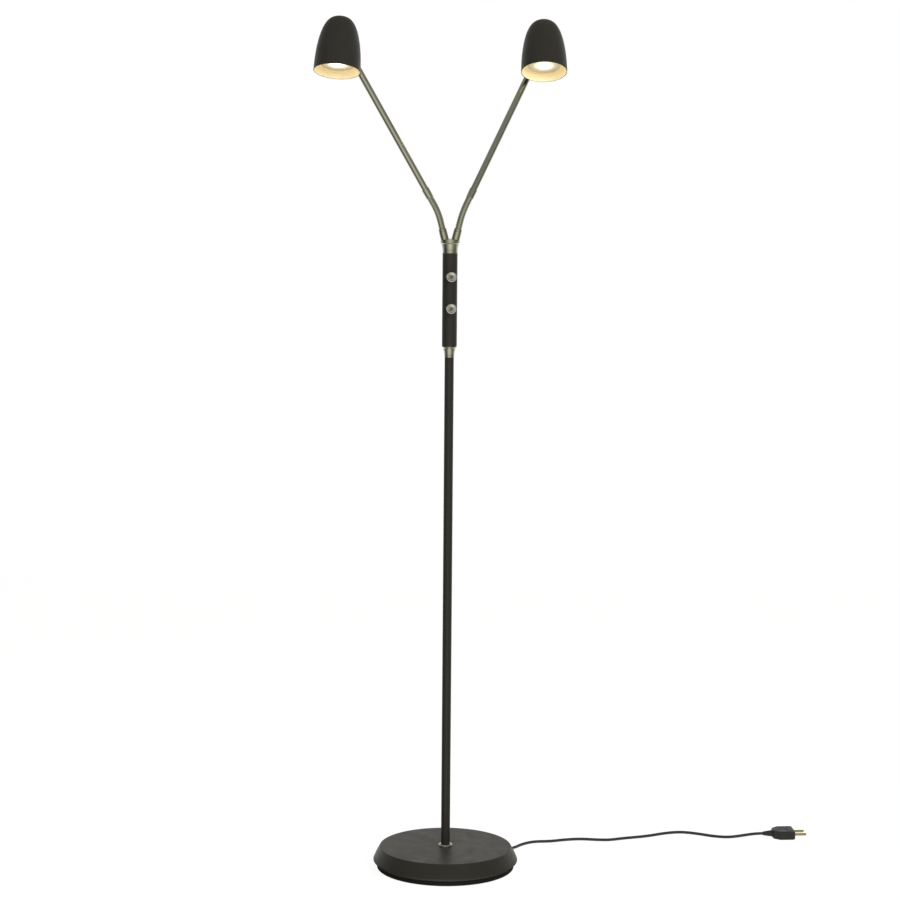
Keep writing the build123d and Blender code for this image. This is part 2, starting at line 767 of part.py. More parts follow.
# ---------------------------------------------------------------- where the arms and heads stand
class Arm:
    """The points and directions of one side, from the angles that it is set to."""

    def __init__(self, side, lean, swing, tilt, roll, turn):
        self.mouth, self.up = socket_mouth(side)
        self.along = Vector(side * tan(radians(lean)), tan(radians(swing)), 1).normalized()
        self.bend_axis = self.up.cross(self.along).normalized()
        self.inward = self.bend_axis.cross(self.up)
        self.bend = radians(self.up.get_angle(self.along))
        self.arc_radius = (hose_length - 4 * hose_radius) / self.bend
        self.hose_foot = self.mouth + self.up * ferrule_length
        self.arc_start = self.hose_foot + self.up * 2 * hose_radius
        self.pivot = self.arc_start + self.up * self.arc_radius * tan(self.bend / 2)
        self.arc_end = self.pivot + self.along * self.arc_radius * tan(self.bend / 2)
        self.hose_end = self.arc_end + self.along * 2 * hose_radius
        self.knuckle = self.hose_end + self.along * arm_reach
        self.crown = Vector(
            sin(radians(roll)),
            sin(radians(tilt)) * cos(radians(roll)),
            cos(radians(tilt)) * cos(radians(roll)),
        )
        across = (Vector(1, 0, 0) - self.crown * self.crown.X).normalized()
        back = self.crown.cross(across)
        self.facing = -(across * cos(radians(turn)) + back * sin(radians(turn)))
        self.rim = self.knuckle + self.facing * knuckle_to_axis - self.crown * stud_height
        self.pin = self.along.cross(self.facing).normalized()
        self.fork_plane = Plane(origin=self.knuckle, x_dir=self.along, z_dir=self.pin)
        self.tongue_plane = Plane(origin=self.knuckle, x_dir=self.facing, z_dir=self.pin)
        self.head_plane = Plane(origin=self.rim, x_dir=self.facing, z_dir=self.facing.cross(self.crown))
        self.head_axis = Axis(self.rim, self.crown)

    def hose_point(self, length):
        """Point and direction at a length of the gooseneck: straight, bent, straight."""
        straight = 2 * hose_radius
        if length <= straight:
            return self.hose_foot + self.up * length, self.up
        if length >= hose_length - straight:
            return self.hose_end - self.along * (hose_length - length), self.along
        angle = (length - straight) / self.arc_radius
        chord = self.up * sin(angle) + self.inward * (1 - cos(angle))
        return self.arc_start + chord * self.arc_radius, self.up * cos(angle) + self.inward * sin(angle)

    def hose_plane(self, length):
        """Section plane of the gooseneck: its x axis stays square to the bend."""
        point, direction = self.hose_point(length)
        return Plane(origin=point, x_dir=self.bend_axis, z_dir=direction)


arms = {name: Arm(**settings) for name, settings in arm_settings.items()}


def shade_solid(arm, radius, top, mode=Mode.ADD):
    """The full round form inside an outline, about the axis of a head."""
    with BuildSketch(arm.head_plane) as half:
        with BuildLine():
            outline = Spline(*shade_outline(radius, top), tangents=[(0, 1), (-1, 0)])
            Polyline(outline @ 1, (0, 0), outline @ 0)
        make_face()
    revolve(half.sketch, axis=arm.head_axis, mode=mode)


def turn_head(arm, outline, mode=Mode.ADD):
    """Revolves (radius, height above the rim) points about the axis of a head."""
    turn(outline, arm.rim, arm.crown, mode)


strip_inner = lamp_base_top + slip_fit + holder_height


def strip_x(height):
    """Where the bracket's middle runs at a height inside the shade, clear of the wall."""
    wall = shade_radius_at(height, inner_radius, inner_height)
    return bracket_clear - sqrt(wall**2 - (bracket_width / 2) ** 2)


rib_pitch = hose_length / hose_ribs

for name, arm in arms.items():
    # ------------------------------------------------------------ neck
    groove_end = ferrule_length - ferrule_groove_end
    groove_start = groove_end - ferrule_groove_width
    with BuildPart() as ferrule:
        turn(
            [
                (wire_bore, -socket_depth),
                (seat_radius, -socket_depth),
                (seat_radius, 0),
                (ferrule_radius - turned_edge, 0),
                (ferrule_radius, turned_edge),
                (ferrule_radius, groove_start),
                (ferrule_radius - ferrule_groove, groove_start + ferrule_groove_slope),
                (ferrule_radius - ferrule_groove, groove_end - ferrule_groove_slope),
                (ferrule_radius, groove_end),
                (ferrule_radius, ferrule_length - ferrule_edge),
                (ferrule_radius - ferrule_edge, ferrule_length),
                (wire_bore, ferrule_length),
            ],
            arm.mouth,
            arm.up,
        )
    ferrule.part.label = f"{name}_ferrule"
    export_step(ferrule.part, f"parts/{name}_ferrule.step")

    # the ribbed gooseneck, four circles to a rib, with its bore
    with BuildPart() as gooseneck:
        for rib in range(hose_ribs):
            for share, valley in rib_profile:
                with BuildSketch(arm.hose_plane((rib + share) * rib_pitch)):
                    Circle(hose_radius - valley * hose_valley_depth)
        with BuildSketch(arm.hose_plane(hose_length)):
            Circle(hose_radius - hose_valley_depth)
        loft(ruled=True)
        for rib in range(hose_ribs + 1):
            with BuildSketch(arm.hose_plane(rib * rib_pitch)):
                Circle(wire_bore)
        loft(ruled=True, mode=Mode.SUBTRACT)
    gooseneck.part.label = f"{name}_gooseneck"
    export_step(gooseneck.part, f"parts/{name}_gooseneck.step")

    # ------------------------------------------------------------ arm
    with BuildPart() as collar:
        turn(
            [
                (wire_bore, 0),
                (collar_foot_radius - turned_edge, 0),
                (collar_foot_radius, turned_edge),
                (collar_top_radius, collar_length - turned_edge),
                (collar_top_radius - turned_edge, collar_length),
                (seat_radius + slip_fit, collar_length),
                (seat_radius + slip_fit, collar_shoulder),
                (wire_bore, collar_shoulder),
            ],
            arm.hose_end,
            arm.along,
        )
    collar.part.label = f"{name}_collar"
    export_step(collar.part, f"parts/{name}_collar.step")

    socket_floor = -fork_slot_floor - fork_web
    tube_length = arm_reach + socket_floor - collar_shoulder - slip_fit
    with BuildPart() as arm_tube:
        turn(
            [
                (seat_radius - tube_wall, 0),
                (seat_radius, 0),
                (seat_radius, tube_length),
                (seat_radius - tube_wall, tube_length),
            ],
            arm.hose_end + arm.along * (collar_shoulder + slip_fit),
            arm.along,
        )
    arm_tube.part.label = f"{name}_arm_tube"
    export_step(arm_tube.part, f"parts/{name}_arm_tube.step")

    # the fork that the head tilts in: a socket for the tube, two cheeks and a slot
    slot_half = tongue_thickness / 2 + side_play
    with BuildPart() as knuckle_fork:
        with BuildSketch(arm.fork_plane):
            Circle(fork_radius)
            with Locations((-fork_slot_floor / 2 - knuckle_overlap, 0)):
                Rectangle(fork_slot_floor + 2 * knuckle_overlap, 2 * fork_radius)
        extrude(amount=slot_half + fork_cheek, both=True)
        rod(
            arm.knuckle + arm.along * (socket_floor - fork_socket),
            arm.along,
            fork_radius,
            fork_socket + fork_web,
        )
        fork_circles = knuckle_fork.edges().filter_by(GeomType.CIRCLE)
        chamfer(fork_circles.sort_by(Axis(arm.knuckle, arm.along))[0], fork_edge)
        with BuildSketch(arm.fork_plane):
            with Locations((fork_radius - fork_slot_floor / 2, 0)):
                Rectangle(2 * fork_radius + fork_slot_floor, 3 * fork_radius)
        extrude(amount=slot_half, both=True, mode=Mode.SUBTRACT)
        bore(arm.knuckle + arm.along * socket_floor, -arm.along, seat_radius + slip_fit, fork_socket)
        bore(arm.knuckle - arm.along * fork_slot_floor, -arm.along, fork_wire_bore, fork_web)
        bore(arm.knuckle - arm.pin * 2 * fork_radius, arm.pin, pin_radius + slip_fit, 4 * fork_radius)
    knuckle_fork.part.label = f"{name}_knuckle_fork"
    export_step(knuckle_fork.part, f"parts/{name}_knuckle_fork.step")

    # the rivet through both cheeks
    pin_seat = slot_half + fork_cheek
    with BuildPart() as knuckle_pin:
        turn(
            [
                (0, -pin_seat - pin_head_height),
                (pin_head_radius - pin_head_edge, -pin_seat - pin_head_height),
                (pin_head_radius, -pin_seat - pin_head_height + pin_head_edge),
                (pin_head_radius, -pin_seat),
                (pin_radius, -pin_seat),
                (pin_radius, pin_seat),
                (pin_head_radius, pin_seat),
                (pin_head_radius, pin_seat + pin_head_height - pin_head_edge),
                (pin_head_radius - pin_head_edge, pin_seat + pin_head_height),
                (0, pin_seat + pin_head_height),
            ],
            arm.knuckle,
            arm.pin,
        )
    knuckle_pin.part.label = f"{name}_knuckle_pin"
    export_step(knuckle_pin.part, f"parts/{name}_knuckle_pin.step")

    # ------------------------------------------------------------ tilting tongue
    flange_end = tongue_flange_start + tongue_flange_length
    with BuildPart() as knuckle_tongue:
        with BuildSketch(arm.tongue_plane):
            Circle(tongue_radius)
            with Locations((tongue_flange_start / 2 + knuckle_overlap, 0)):
                Rectangle(tongue_flange_start + 2 * knuckle_overlap, tongue_neck)
        extrude(amount=tongue_thickness / 2, both=True)
        rod(
            arm.knuckle + arm.facing * tongue_flange_start,
            arm.facing,
            fork_radius,
            tongue_flange_length,
        )
        tongue_circles = knuckle_tongue.edges().filter_by(GeomType.CIRCLE)
        chamfer(tongue_circles.sort_by(Axis(arm.knuckle, arm.facing))[-1], tongue_edge)
        bore(arm.knuckle - arm.pin * fork_radius, arm.pin, pin_radius + running_fit, 2 * fork_radius)
        bore(
            arm.knuckle + arm.facing * flange_end,
            -arm.facing,
            stud_radius + running_fit,
            tongue_bore_depth,
        )
    knuckle_tongue.part.label = f"{name}_knuckle_tongue"
    export_step(knuckle_tongue.part, f"parts/{name}_knuckle_tongue.step")

    # ------------------------------------------------------------ shade
    with BuildPart() as shade:
        shade_solid(arm, shade_radius, shade_height)
        shade_solid(arm, inner_radius, inner_height, Mode.SUBTRACT)
        shade_circles = shade.edges().filter_by(GeomType.CIRCLE)
        fillet(shade_circles.sort_by(Axis(arm.rim, arm.crown))[0:2], shade_rim_round)
        bore(arm.knuckle, arm.facing, stud_thread_radius + slip_fit, knuckle_to_axis)
    shade.part.label = f"{name}_shade"
    export_step(shade.part, f"parts/{name}_shade.step")

    # the stud that the head turns on, with a collar that fits the shade's curve
    thread_end = stud_stand_off + stud_inside
    with BuildPart() as shade_stud:
        rod(
            arm.knuckle + arm.facing * (flange_end + side_play),
            arm.facing,
            stud_collar_radius,
            stud_stand_off,
        )
        shade_solid(arm, shade_radius + slip_fit, shade_height + slip_fit, Mode.SUBTRACT)
        rod(
            arm.knuckle + arm.facing * (flange_end + side_play),
            arm.facing,
            stud_thread_radius,
            thread_end - flange_end - side_play,
        )
        rod(
            arm.knuckle + arm.facing * (flange_end - tongue_bore_depth + side_play),
            arm.facing,
            stud_radius,
            tongue_bore_depth,
        )
    shade_stud.part.label = f"{name}_shade_stud"
    export_step(shade_stud.part, f"parts/{name}_shade_stud.step")

    # ------------------------------------------------------------ inside the shade
    strip_middle = strip_x(stud_height + bracket_rise)
    strip_face = knuckle_to_axis + strip_middle
    with BuildPart() as holder_bracket:
        with BuildSketch(arm.head_plane):
            with BuildLine() as strip:
                FilletPolyline(
                    (strip_middle, stud_height - bracket_foot),
                    (strip_middle, stud_height + bracket_rise),
                    (strip_x(stud_height + bracket_knee), stud_height + bracket_knee),
                    (-bracket_corner_x, strip_inner + bracket_thickness / 2),
                    (bracket_top_reach, strip_inner + bracket_thickness / 2),
                    radius=bracket_bend,
                )
            trace(line_width=bracket_thickness)
        extrude(amount=bracket_width / 2, both=True)
        rod(
            arm.knuckle + arm.facing * stud_stand_off,
            arm.facing,
            boss_radius,
            strip_face - stud_stand_off,
        )
        bore(arm.knuckle, arm.facing, stud_thread_radius + screw_fit, knuckle_to_axis)
        shade_solid(arm, inner_radius - slip_fit, inner_height - slip_fit, Mode.INTERSECT)
    holder_bracket.part.label = f"{name}_holder_bracket"
    export_step(holder_bracket.part, f"parts/{name}_holder_bracket.step")

    nut_seat = strip_face + bracket_thickness / 2
    with BuildPart() as stud_nut:
        nut_plane = Plane(
            origin=arm.knuckle + arm.facing * nut_seat, x_dir=arm.head_plane.z_dir, z_dir=arm.facing
        )
        hexagon(nut_plane, stud_nut_across, stud_nut_height)
        bore(arm.knuckle, arm.facing, stud_thread_radius + slip_fit, knuckle_to_axis)
    stud_nut.part.label = f"{name}_stud_nut"
    export_step(stud_nut.part, f"parts/{name}_stud_nut.step")

    # the reflector lamp
    ring_top_z = lamp_face + lamp_ring_height
    lens_seat = lamp_face + lens_recess + lens_thickness
    with BuildPart() as lamp_body:
        with BuildSketch(arm.head_plane):
            with BuildLine():
                Polyline(
                    (0, lens_seat),
                    (lens_radius + screw_fit, lens_seat),
                    (lens_radius + screw_fit, lamp_face),
                    (lamp_radius - lamp_ring_edge, lamp_face),
                    (lamp_radius, lamp_face + lamp_ring_edge),
                    (lamp_radius, ring_top_z),
                )
                ThreePointArc(
                    (lamp_radius, ring_top_z),
                    (lamp_waist_radius, lamp_waist_z),
                    (lamp_neck_radius, lamp_neck_z),
                )
                Polyline(
                    (lamp_neck_radius, lamp_neck_z),
                    (lamp_base_radius, lamp_neck_z + lamp_neck_taper),
                    (lamp_base_radius, lamp_base_top),
                    (0, lamp_base_top),
                    (0, lens_seat),
                )
            make_face()
        revolve(axis=arm.head_axis)
    lamp_body.part.label = f"{name}_lamp_body"
    export_step(lamp_body.part, f"parts/{name}_lamp_body.step")

    with BuildPart() as lamp_lens:
        turn_head(
            arm,
            [
                (0, lens_seat - lens_thickness),
                (lens_radius - lens_edge, lens_seat - lens_thickness),
                (lens_radius, lens_seat - lens_thickness + lens_edge),
                (lens_radius, lens_seat),
                (0, lens_seat),
            ],
        )
    lamp_lens.part.label = f"{name}_lamp_lens"
    export_step(lamp_lens.part, f"parts/{name}_lamp_lens.step")

    # the lamp's two headed pins, and the holder they turn into
    base_plane = Plane(origin=arm.rim + arm.crown * lamp_base_top, x_dir=arm.pin, z_dir=arm.crown)
    with BuildPart() as lamp_pins:
        with BuildSketch(base_plane):
            with GridLocations(lamp_pin_spacing, 0, 2, 1):
                Circle(lamp_pin_radius)
        extrude(amount=lamp_pin_length)
        with BuildSketch(base_plane.offset(lamp_pin_length - lamp_pin_head_length)):
            with GridLocations(lamp_pin_spacing, 0, 2, 1):
                Circle(lamp_pin_head)
        extrude(amount=lamp_pin_head_length)
    lamp_pins.part.label = f"{name}_lamp_pins"
    export_step(lamp_pins.part, f"parts/{name}_lamp_pins.step")

    with BuildPart() as lamp_holder:
        with BuildSketch(base_plane.offset(slip_fit)):
            SlotOverall(holder_length, holder_width)
        extrude(amount=holder_height)
        with BuildSketch(base_plane.offset(slip_fit)):
            with GridLocations(lamp_pin_spacing, 0, 2, 1):
                Circle(holder_hole_radius)
        extrude(amount=holder_hole_depth, mode=Mode.SUBTRACT)
    lamp_holder.part.label = f"{name}_lamp_holder"
    export_step(lamp_holder.part, f"parts/{name}_lamp_holder.step")

    print(name, "arm: bend", round(degrees(arm.bend), 1), "tilt", round(arm.along.get_angle(arm.facing), 1))
    print("  pivot", arm.pivot, "knuckle", arm.knuckle, "rim", arm.rim)
    print("  up", arm.up, "along", arm.along, "bend axis", arm.bend_axis)
    print("  facing", arm.facing, "pin", arm.pin, "crown", arm.crown)


# ---------------------------------------------------------------- mains cord
def cord_path(points):
    """Straight runs joined by arcs, each arc as large as its two runs allow."""
    vectors = [Vector(*point) for point in points]
    radii = []
    for before, corner, after in zip(vectors, vectors[1:], vectors[2:]):
        bend = (corner - before).get_angle(after - corner)
        run = min((corner - before).length, (after - corner).length)
        radii.append(0.45 * run / tan(radians(bend) / 2))
    runs = [(b - a).length for a, b in zip(vectors, vectors[1:])]
    print("runs", [round(run, 1) for run in runs])
    print("radii", [round(radius, 1) for radius in radii], "least", round(min(radii), 1))
    return vectors, radii


def cord_report(name, solid, path, radius):
    """Prints a tube's length, and its volume against section times length."""
    expected = pi * radius**2 * path.length
    print(name, "length", round(path.length, 1), "volume", round(solid.volume), "of", round(expected))


def least_gap(path, radius, step=1.5):
    """The least gap between turns of a wound tube, measured on points along it."""
    count = int(path.length / step)
    points = [path @ (index / count) for index in range(count + 1)]
    skip = int(10 * radius / step)
    return min(
        (points[first] - points[second]).length
        for first in range(count + 1)
        for second in range(first + skip, count + 1)
    ) - 2 * radius


exit_point = exit_direction * grip_outer_radius + Vector(0, 0, exit_z)
shank_point = exit_direction * grip_inner_radius + Vector(0, 0, exit_z)

# the strain relief: a shank in the ring and a tapered tail with rings
with BuildPart() as cord_grip:
    tail_start = ring_radius - grip_inner_radius
    tail_end = grip_outer_radius - grip_inner_radius
    turn(
        [
            (0, 0),
            (grip_shank_radius, 0),
            (grip_shank_radius, tail_start),
            (grip_tail_radius, tail_start),
            (grip_tip_radius, tail_end),
            (0, tail_end),
        ],
        shank_point,
        exit_direction,
    )
cord_grip.part.label = "cord_grip"
export_step(cord_grip.part, "parts/cord_grip.step")

# the unjacketed lead inside: along the channel and up the pole to the lower dimmer
with BuildPart() as inner_cable:
    with BuildLine() as inner_path:
        FilletPolyline(
            shank_point,
            (0, 0, exit_z),
            (0, 0, lower_knob_z - dimmer_height / 2),
            radius=lead_bend,
        )
    with BuildSketch(Plane(origin=shank_point, z_dir=-exit_direction)):
        Circle(lead_radius)
    sweep()
inner_cable.part.label = "inner_cable"
export_step(inner_cable.part, "parts/inner_cable.step")
cord_report("inner cable", inner_cable.part, inner_path.wire(), lead_radius)

coil_x, coil_y = coil_middle
coil_z_above = coil_z + coil_pitch
coil_start = Vector(coil_x, coil_y - coil_outer, coil_z)

# from the grip to the coil
coil_entry_point = coil_start - Vector(2 * cord_radius, 0, 0)
with BuildPart() as cord_lead:
    lead_points, lead_radii = cord_path([exit_point, *cord_lead_points, coil_entry_point])
    with BuildLine() as lead_path:
        lead_line = FilletPolyline(*lead_points, radius=lead_radii)
    with BuildSketch(Plane(origin=lead_line @ 0, z_dir=lead_line % 0)):
        Circle(cord_radius)
    sweep()
cord_lead.part.label = "cord_lead"
export_step(cord_lead.part, "parts/cord_lead.step")
cord_report("lead", cord_lead.part, lead_path.wire(), cord_radius)

# the spare length, wound in two layers: spiralling in below and out again above
lower_offsets = []
for turn_index in range(coil_turns_below):
    lower_offsets.append(-(coil_outer - turn_index * coil_pitch))
    lower_offsets.append(coil_outer - turn_index * coil_pitch)
upper_offsets = [coil_upper_start]
for turn_index in range(coil_upper_pairs):
    upper_offsets.append(coil_upper_top + turn_index * coil_pitch)
    upper_offsets.append(coil_upper_bottom - turn_index * coil_pitch)
coil_points = [Vector(coil_x, coil_y + offset, coil_z) for offset in lower_offsets]
coil_points += [Vector(coil_x, coil_y + offset, coil_z_above) for offset in upper_offsets]
coil_end = coil_points[-1] + Vector(2 * cord_radius, 0, 0)

with BuildPart() as cord_coil:
    with BuildLine() as coil_path:
        coil_entry = Line(coil_entry_point, coil_start)
        for index, (start, end) in enumerate(zip(coil_points, coil_points[1:])):
            way = 1 if index % 2 == 0 else -1
            middle = (start + end) / 2 + Vector(way * (end - start).length / 2, 0, 0)
            ThreePointArc(start, middle, end)
        Line(coil_points[-1], coil_end)
    with BuildSketch(Plane(origin=coil_entry @ 0, z_dir=coil_entry % 0)):
        Circle(cord_radius)
    sweep()
cord_coil.part.label = "cord_coil"
export_step(cord_coil.part, "parts/cord_coil.step")
cord_report("coil", cord_coil.part, coil_path.wire(), cord_radius)
print("least gap of the coil to itself", round(least_gap(coil_path.wire(), cord_radius), 3))

# a strap round the coil's right side
bundle_inner = coil_x + (coil_upper_top - coil_upper_start) / 2 - cord_radius - tie_inner_slack
bundle_outer = coil_x + coil_outer + cord_radius + tie_slack
bundle_top = coil_z_above + cord_radius + tie_slack
with BuildPart() as cord_tie:
    with BuildSketch(Plane.XZ.offset(-coil_y - tie_offset)):
        with Locations(((bundle_inner + bundle_outer) / 2, (tie_thickness + bundle_top) / 2)):
            RectangleRounded(
                bundle_outer - bundle_inner + 2 * tie_thickness,
                bundle_top + tie_thickness,
                tie_corner + tie_thickness,
            )
            RectangleRounded(
                bundle_outer - bundle_inner,
                bundle_top - tie_thickness,
                tie_corner,
                mode=Mode.SUBTRACT,
            )
    extrude(amount=tie_width / 2, both=True)
cord_tie.part.label = "cord_tie"
export_step(cord_tie.part, "parts/cord_tie.step")

# from the coil along the floor to the plug
plug_direction = Vector(1, 0, 0).rotate(Axis.Z, plug_azimuth)
plug_point = Vector(*plug_rear)
with BuildPart() as cord_run:
    run_points, run_radii = cord_path([coil_end, *cord_run_points, plug_point])
    with BuildLine() as run_path:
        run_line = FilletPolyline(*run_points, radius=run_radii)
    with BuildSketch(Plane(origin=run_line @ 0, z_dir=run_line % 0)):
        Circle(cord_radius)
    sweep()
cord_run.part.label = "cord_run"
export_step(cord_run.part, "parts/cord_run.step")
cord_report("run", cord_run.part, run_path.wire(), cord_radius)
cord_length = lead_path.wire().length + coil_path.wire().length + run_path.wire().length
print("cord from grip to plug", round(cord_length, 1))

# ---------------------------------------------------------------- plug
plug_plane = Plane(origin=plug_point, x_dir=plug_direction, z_dir=(0, 0, 1))
face_plane = Plane(
    origin=plug_point + plug_direction * (plug_tail_length + plug_length),
    x_dir=plug_direction.cross(Vector(0, 0, 1)),
    z_dir=plug_direction,
)
with BuildPart() as plug_body:
    with BuildSketch(plug_plane):
        with BuildLine():
            FilletPolyline(
                (plug_tail_length, plug_width / 4),
                (plug_tail_length + plug_length * plug_taper_share, plug_width / 2),
                (plug_tail_length + plug_length, plug_width / 2),
                (plug_tail_length + plug_length, -plug_width / 2),
                (plug_tail_length + plug_length * plug_taper_share, -plug_width / 2),
                (plug_tail_length, -plug_width / 4),
                radius=plug_round,
                close=True,
            )
        make_face()
    extrude(amount=plug_height / 2, both=True)
    chamfer(plug_body.faces().filter_by(Axis.Z).edges(), plug_edge)
    turn(
        [
            (0, 0),
            (plug_tail_radius, 0),
            (plug_height / 2 - plug_edge, plug_tail_length + plug_tail_overlap),
            (0, plug_tail_length + plug_tail_overlap),
        ],
        plug_point,
        plug_direction,
    )
plug_body.part.label = "plug_body"
export_step(plug_body.part, "parts/plug_body.step")

with BuildPart() as plug_pins:
    with BuildSketch(face_plane):
        with GridLocations(plug_pin_spacing, 0, 2, 1):
            Circle(plug_pin_radius)
    extrude(amount=plug_pin_length)
    fillet(plug_pins.faces().sort_by(Axis((0, 0, 0), plug_direction))[-2:].edges(), plug_pin_round)
plug_pins.part.label = "plug_pins"
export_step(plug_pins.part, "parts/plug_pins.step")
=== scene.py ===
import json
import math

import bmesh
import bpy
from mathutils import Matrix, Vector


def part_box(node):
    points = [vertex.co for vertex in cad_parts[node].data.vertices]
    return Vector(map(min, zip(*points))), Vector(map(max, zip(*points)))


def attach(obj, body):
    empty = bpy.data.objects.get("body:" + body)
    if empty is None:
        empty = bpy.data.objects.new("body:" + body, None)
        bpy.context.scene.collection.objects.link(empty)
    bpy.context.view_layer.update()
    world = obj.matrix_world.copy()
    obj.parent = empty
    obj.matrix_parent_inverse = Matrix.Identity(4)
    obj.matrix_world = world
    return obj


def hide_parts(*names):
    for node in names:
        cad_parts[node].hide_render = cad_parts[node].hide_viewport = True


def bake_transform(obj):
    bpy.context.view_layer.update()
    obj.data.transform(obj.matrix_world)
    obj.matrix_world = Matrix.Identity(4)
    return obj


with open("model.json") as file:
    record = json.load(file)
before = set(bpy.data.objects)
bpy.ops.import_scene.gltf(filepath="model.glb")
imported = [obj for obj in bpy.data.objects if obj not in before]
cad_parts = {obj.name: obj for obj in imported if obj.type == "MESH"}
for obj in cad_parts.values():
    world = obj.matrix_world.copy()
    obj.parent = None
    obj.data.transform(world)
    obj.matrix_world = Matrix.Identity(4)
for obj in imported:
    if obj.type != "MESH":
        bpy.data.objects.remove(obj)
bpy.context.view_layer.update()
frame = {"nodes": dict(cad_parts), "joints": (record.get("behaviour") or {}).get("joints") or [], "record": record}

# A floor lamp: a heavy round base, a slim pole with a dimmer grip, and two reading lamps
# on chrome arms that stand on ribbed goosenecks. Metres, +Z up, the front along -Y.

MM = 0.001
nodes = frame["nodes"]
joints = {joint["name"]: joint for joint in frame["joints"]}
slot_of = {row["node"]: row["material_slot"] for row in frame["record"]["subparts"]}


# ---------------------------------------------------------------- camera
camera_place = Vector((0.0, -4.2, 1.2544))
camera_down = math.radians(8.107)
camera_right = math.radians(0.031)
camera_roll = math.radians(0.46)
camera_lens = 111.24


def make_camera():
    """The camera of the photograph, from its place and three angles."""
    forward = Vector((
        math.sin(camera_right) * math.cos(camera_down),
        math.cos(camera_right) * math.cos(camera_down),
        -math.sin(camera_down),
    ))
    level = Vector((math.cos(camera_right), -math.sin(camera_right), 0.0))
    upright = level.cross(forward)
    across = level * math.cos(camera_roll) + upright * math.sin(camera_roll)
    upward = upright * math.cos(camera_roll) - level * math.sin(camera_roll)
    data = bpy.data.cameras.new("camera")
    data.lens = camera_lens
    data.sensor_width = 36.0
    data.clip_end = 60.0
    camera = bpy.data.objects.new("camera", data)
    turn = Matrix((across, upward, -forward)).transposed().to_4x4()
    camera.matrix_world = Matrix.Translation(camera_place) @ turn
    bpy.context.scene.collection.objects.link(camera)
    bpy.context.scene.camera = camera


make_camera()


# ---------------------------------------------------------------- the mains cord
cord_radius = 2.3 * MM
cord_exit = (-74.565, 106.490, 5.1)
lead_points = [
    (-87.2, 124.5, 5.1),
    (-84.7, 147.9, 3.4),
    (-65.9, 162.0, 2.4),
    (-42.8, 157.9, 2.4),
    (-28.5, 141.5, 2.5),
    (-8.0, 115.15, 2.9),
]
run_points = [
    (47.5, 119.8, 8.0),
    (61.5, 105.5, 5.5),
    (73.5, 92.0, 2.6),
    (92.0, 88.5, 2.4),
    (109.5, 98.8, 2.4),
    (121.5, 119.0, 2.4),
    (141.0, 136.0, 2.4),
    (168.0, 137.5, 2.4),
    (192.0, 148.0, 2.4),
    (218.0, 153.5, 2.4),
    (243.0, 149.0, 2.4),
    (264.0, 148.0, 2.4),
    (286.0, 158.5, 2.4),
    (327.0, 172.0, 2.4),
    (356.0, 190.5, 2.4),
    (383.0, 199.0, 2.4),
    (410.0, 189.0, 2.4),
    (436.0, 173.5, 2.4),
    (460.0, 168.5, 2.6),
    (484.0, 174.0, 4.8),
    (503.0, 176.5, 7.0),
]
plug_rear = (515.0, 177.55, 7.0)
coil_middle = (22.0, 148.7)
coil_pitch = 5.1
coil_outer = 33.55
coil_half_turns_below = 4     # on each side of the lower layer
coil_z = 2.9
coil_upper_start = -13.15
coil_upper_top = 22.3
coil_upper_bottom = -18.7
coil_upper_pairs = 3
coil_points_per_half = 9


def coil_offsets():
    """Where the coil crosses its own middle line, (offset, height), in the order it is wound."""
    offsets = []
    for turn in range(coil_half_turns_below):
        offsets.append((-(coil_outer - turn * coil_pitch), coil_z))
        offsets.append((coil_outer - turn * coil_pitch, coil_z))
    offsets.append((coil_upper_start, coil_z + coil_pitch))
    for turn in range(coil_upper_pairs):
        offsets.append((coil_upper_top + turn * coil_pitch, coil_z + coil_pitch))
        offsets.append((coil_upper_bottom - turn * coil_pitch, coil_z + coil_pitch))
    return offsets


def coil_points():
    """Control points of half turns, a little outside them because the spline cuts inside."""
    step = math.pi / coil_points_per_half
    outside = 1 / (0.75 + 0.25 * math.cos(step))
    offsets = coil_offsets()
    points = []
    for index, ((start, start_z), (end, end_z)) in enumerate(zip(offsets, offsets[1:])):
        side = 1 if index % 2 == 0 else -1
        middle, reach = (start + end) / 2, (end - start) / 2 * outside
        for count in range(coil_points_per_half):
            angle = step * (count + 0.5)
            share = (count + 0.5) / coil_points_per_half
            points.append((
                coil_middle[0] + side * abs(reach) * math.sin(angle),
                coil_middle[1] + middle - reach * math.cos(angle),
                start_z + (end_z - start_z) * share,
            ))
    return points


def spline_curve(name, points, radius):
    """A tube along a smooth spline that has these points, in millimetres, as control points."""
    data = bpy.data.curves.new(name, "CURVE")
    data.dimensions = "3D"
    spline = data.splines.new("NURBS")
    spline.points.add(len(points) - 1)
    for point, place in zip(spline.points, points):
        point.co = (*(value * MM for value in place), 1.0)
        point.radius = radius
    spline.order_u = 3
    spline.use_endpoint_u = True
    spline.resolution_u = 6
    data.bevel_depth = 1.0
    data.bevel_resolution = 6
    data.use_fill_caps = True
    curve = bpy.data.objects.new(name, data)
    bpy.context.scene.collection.objects.link(curve)
    return curve


mains_cord = spline_curve(
    "mains_cord",
    [cord_exit, *lead_points, *coil_points(), *run_points, plug_rear],
    cord_radius,
)
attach(mains_cord, "base")
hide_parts("cord_lead", "cord_coil", "cord_run")


# ---------------------------------------------------------------- mesh helpers
sharp_angle = math.radians(38)
no_radius = 1e-7


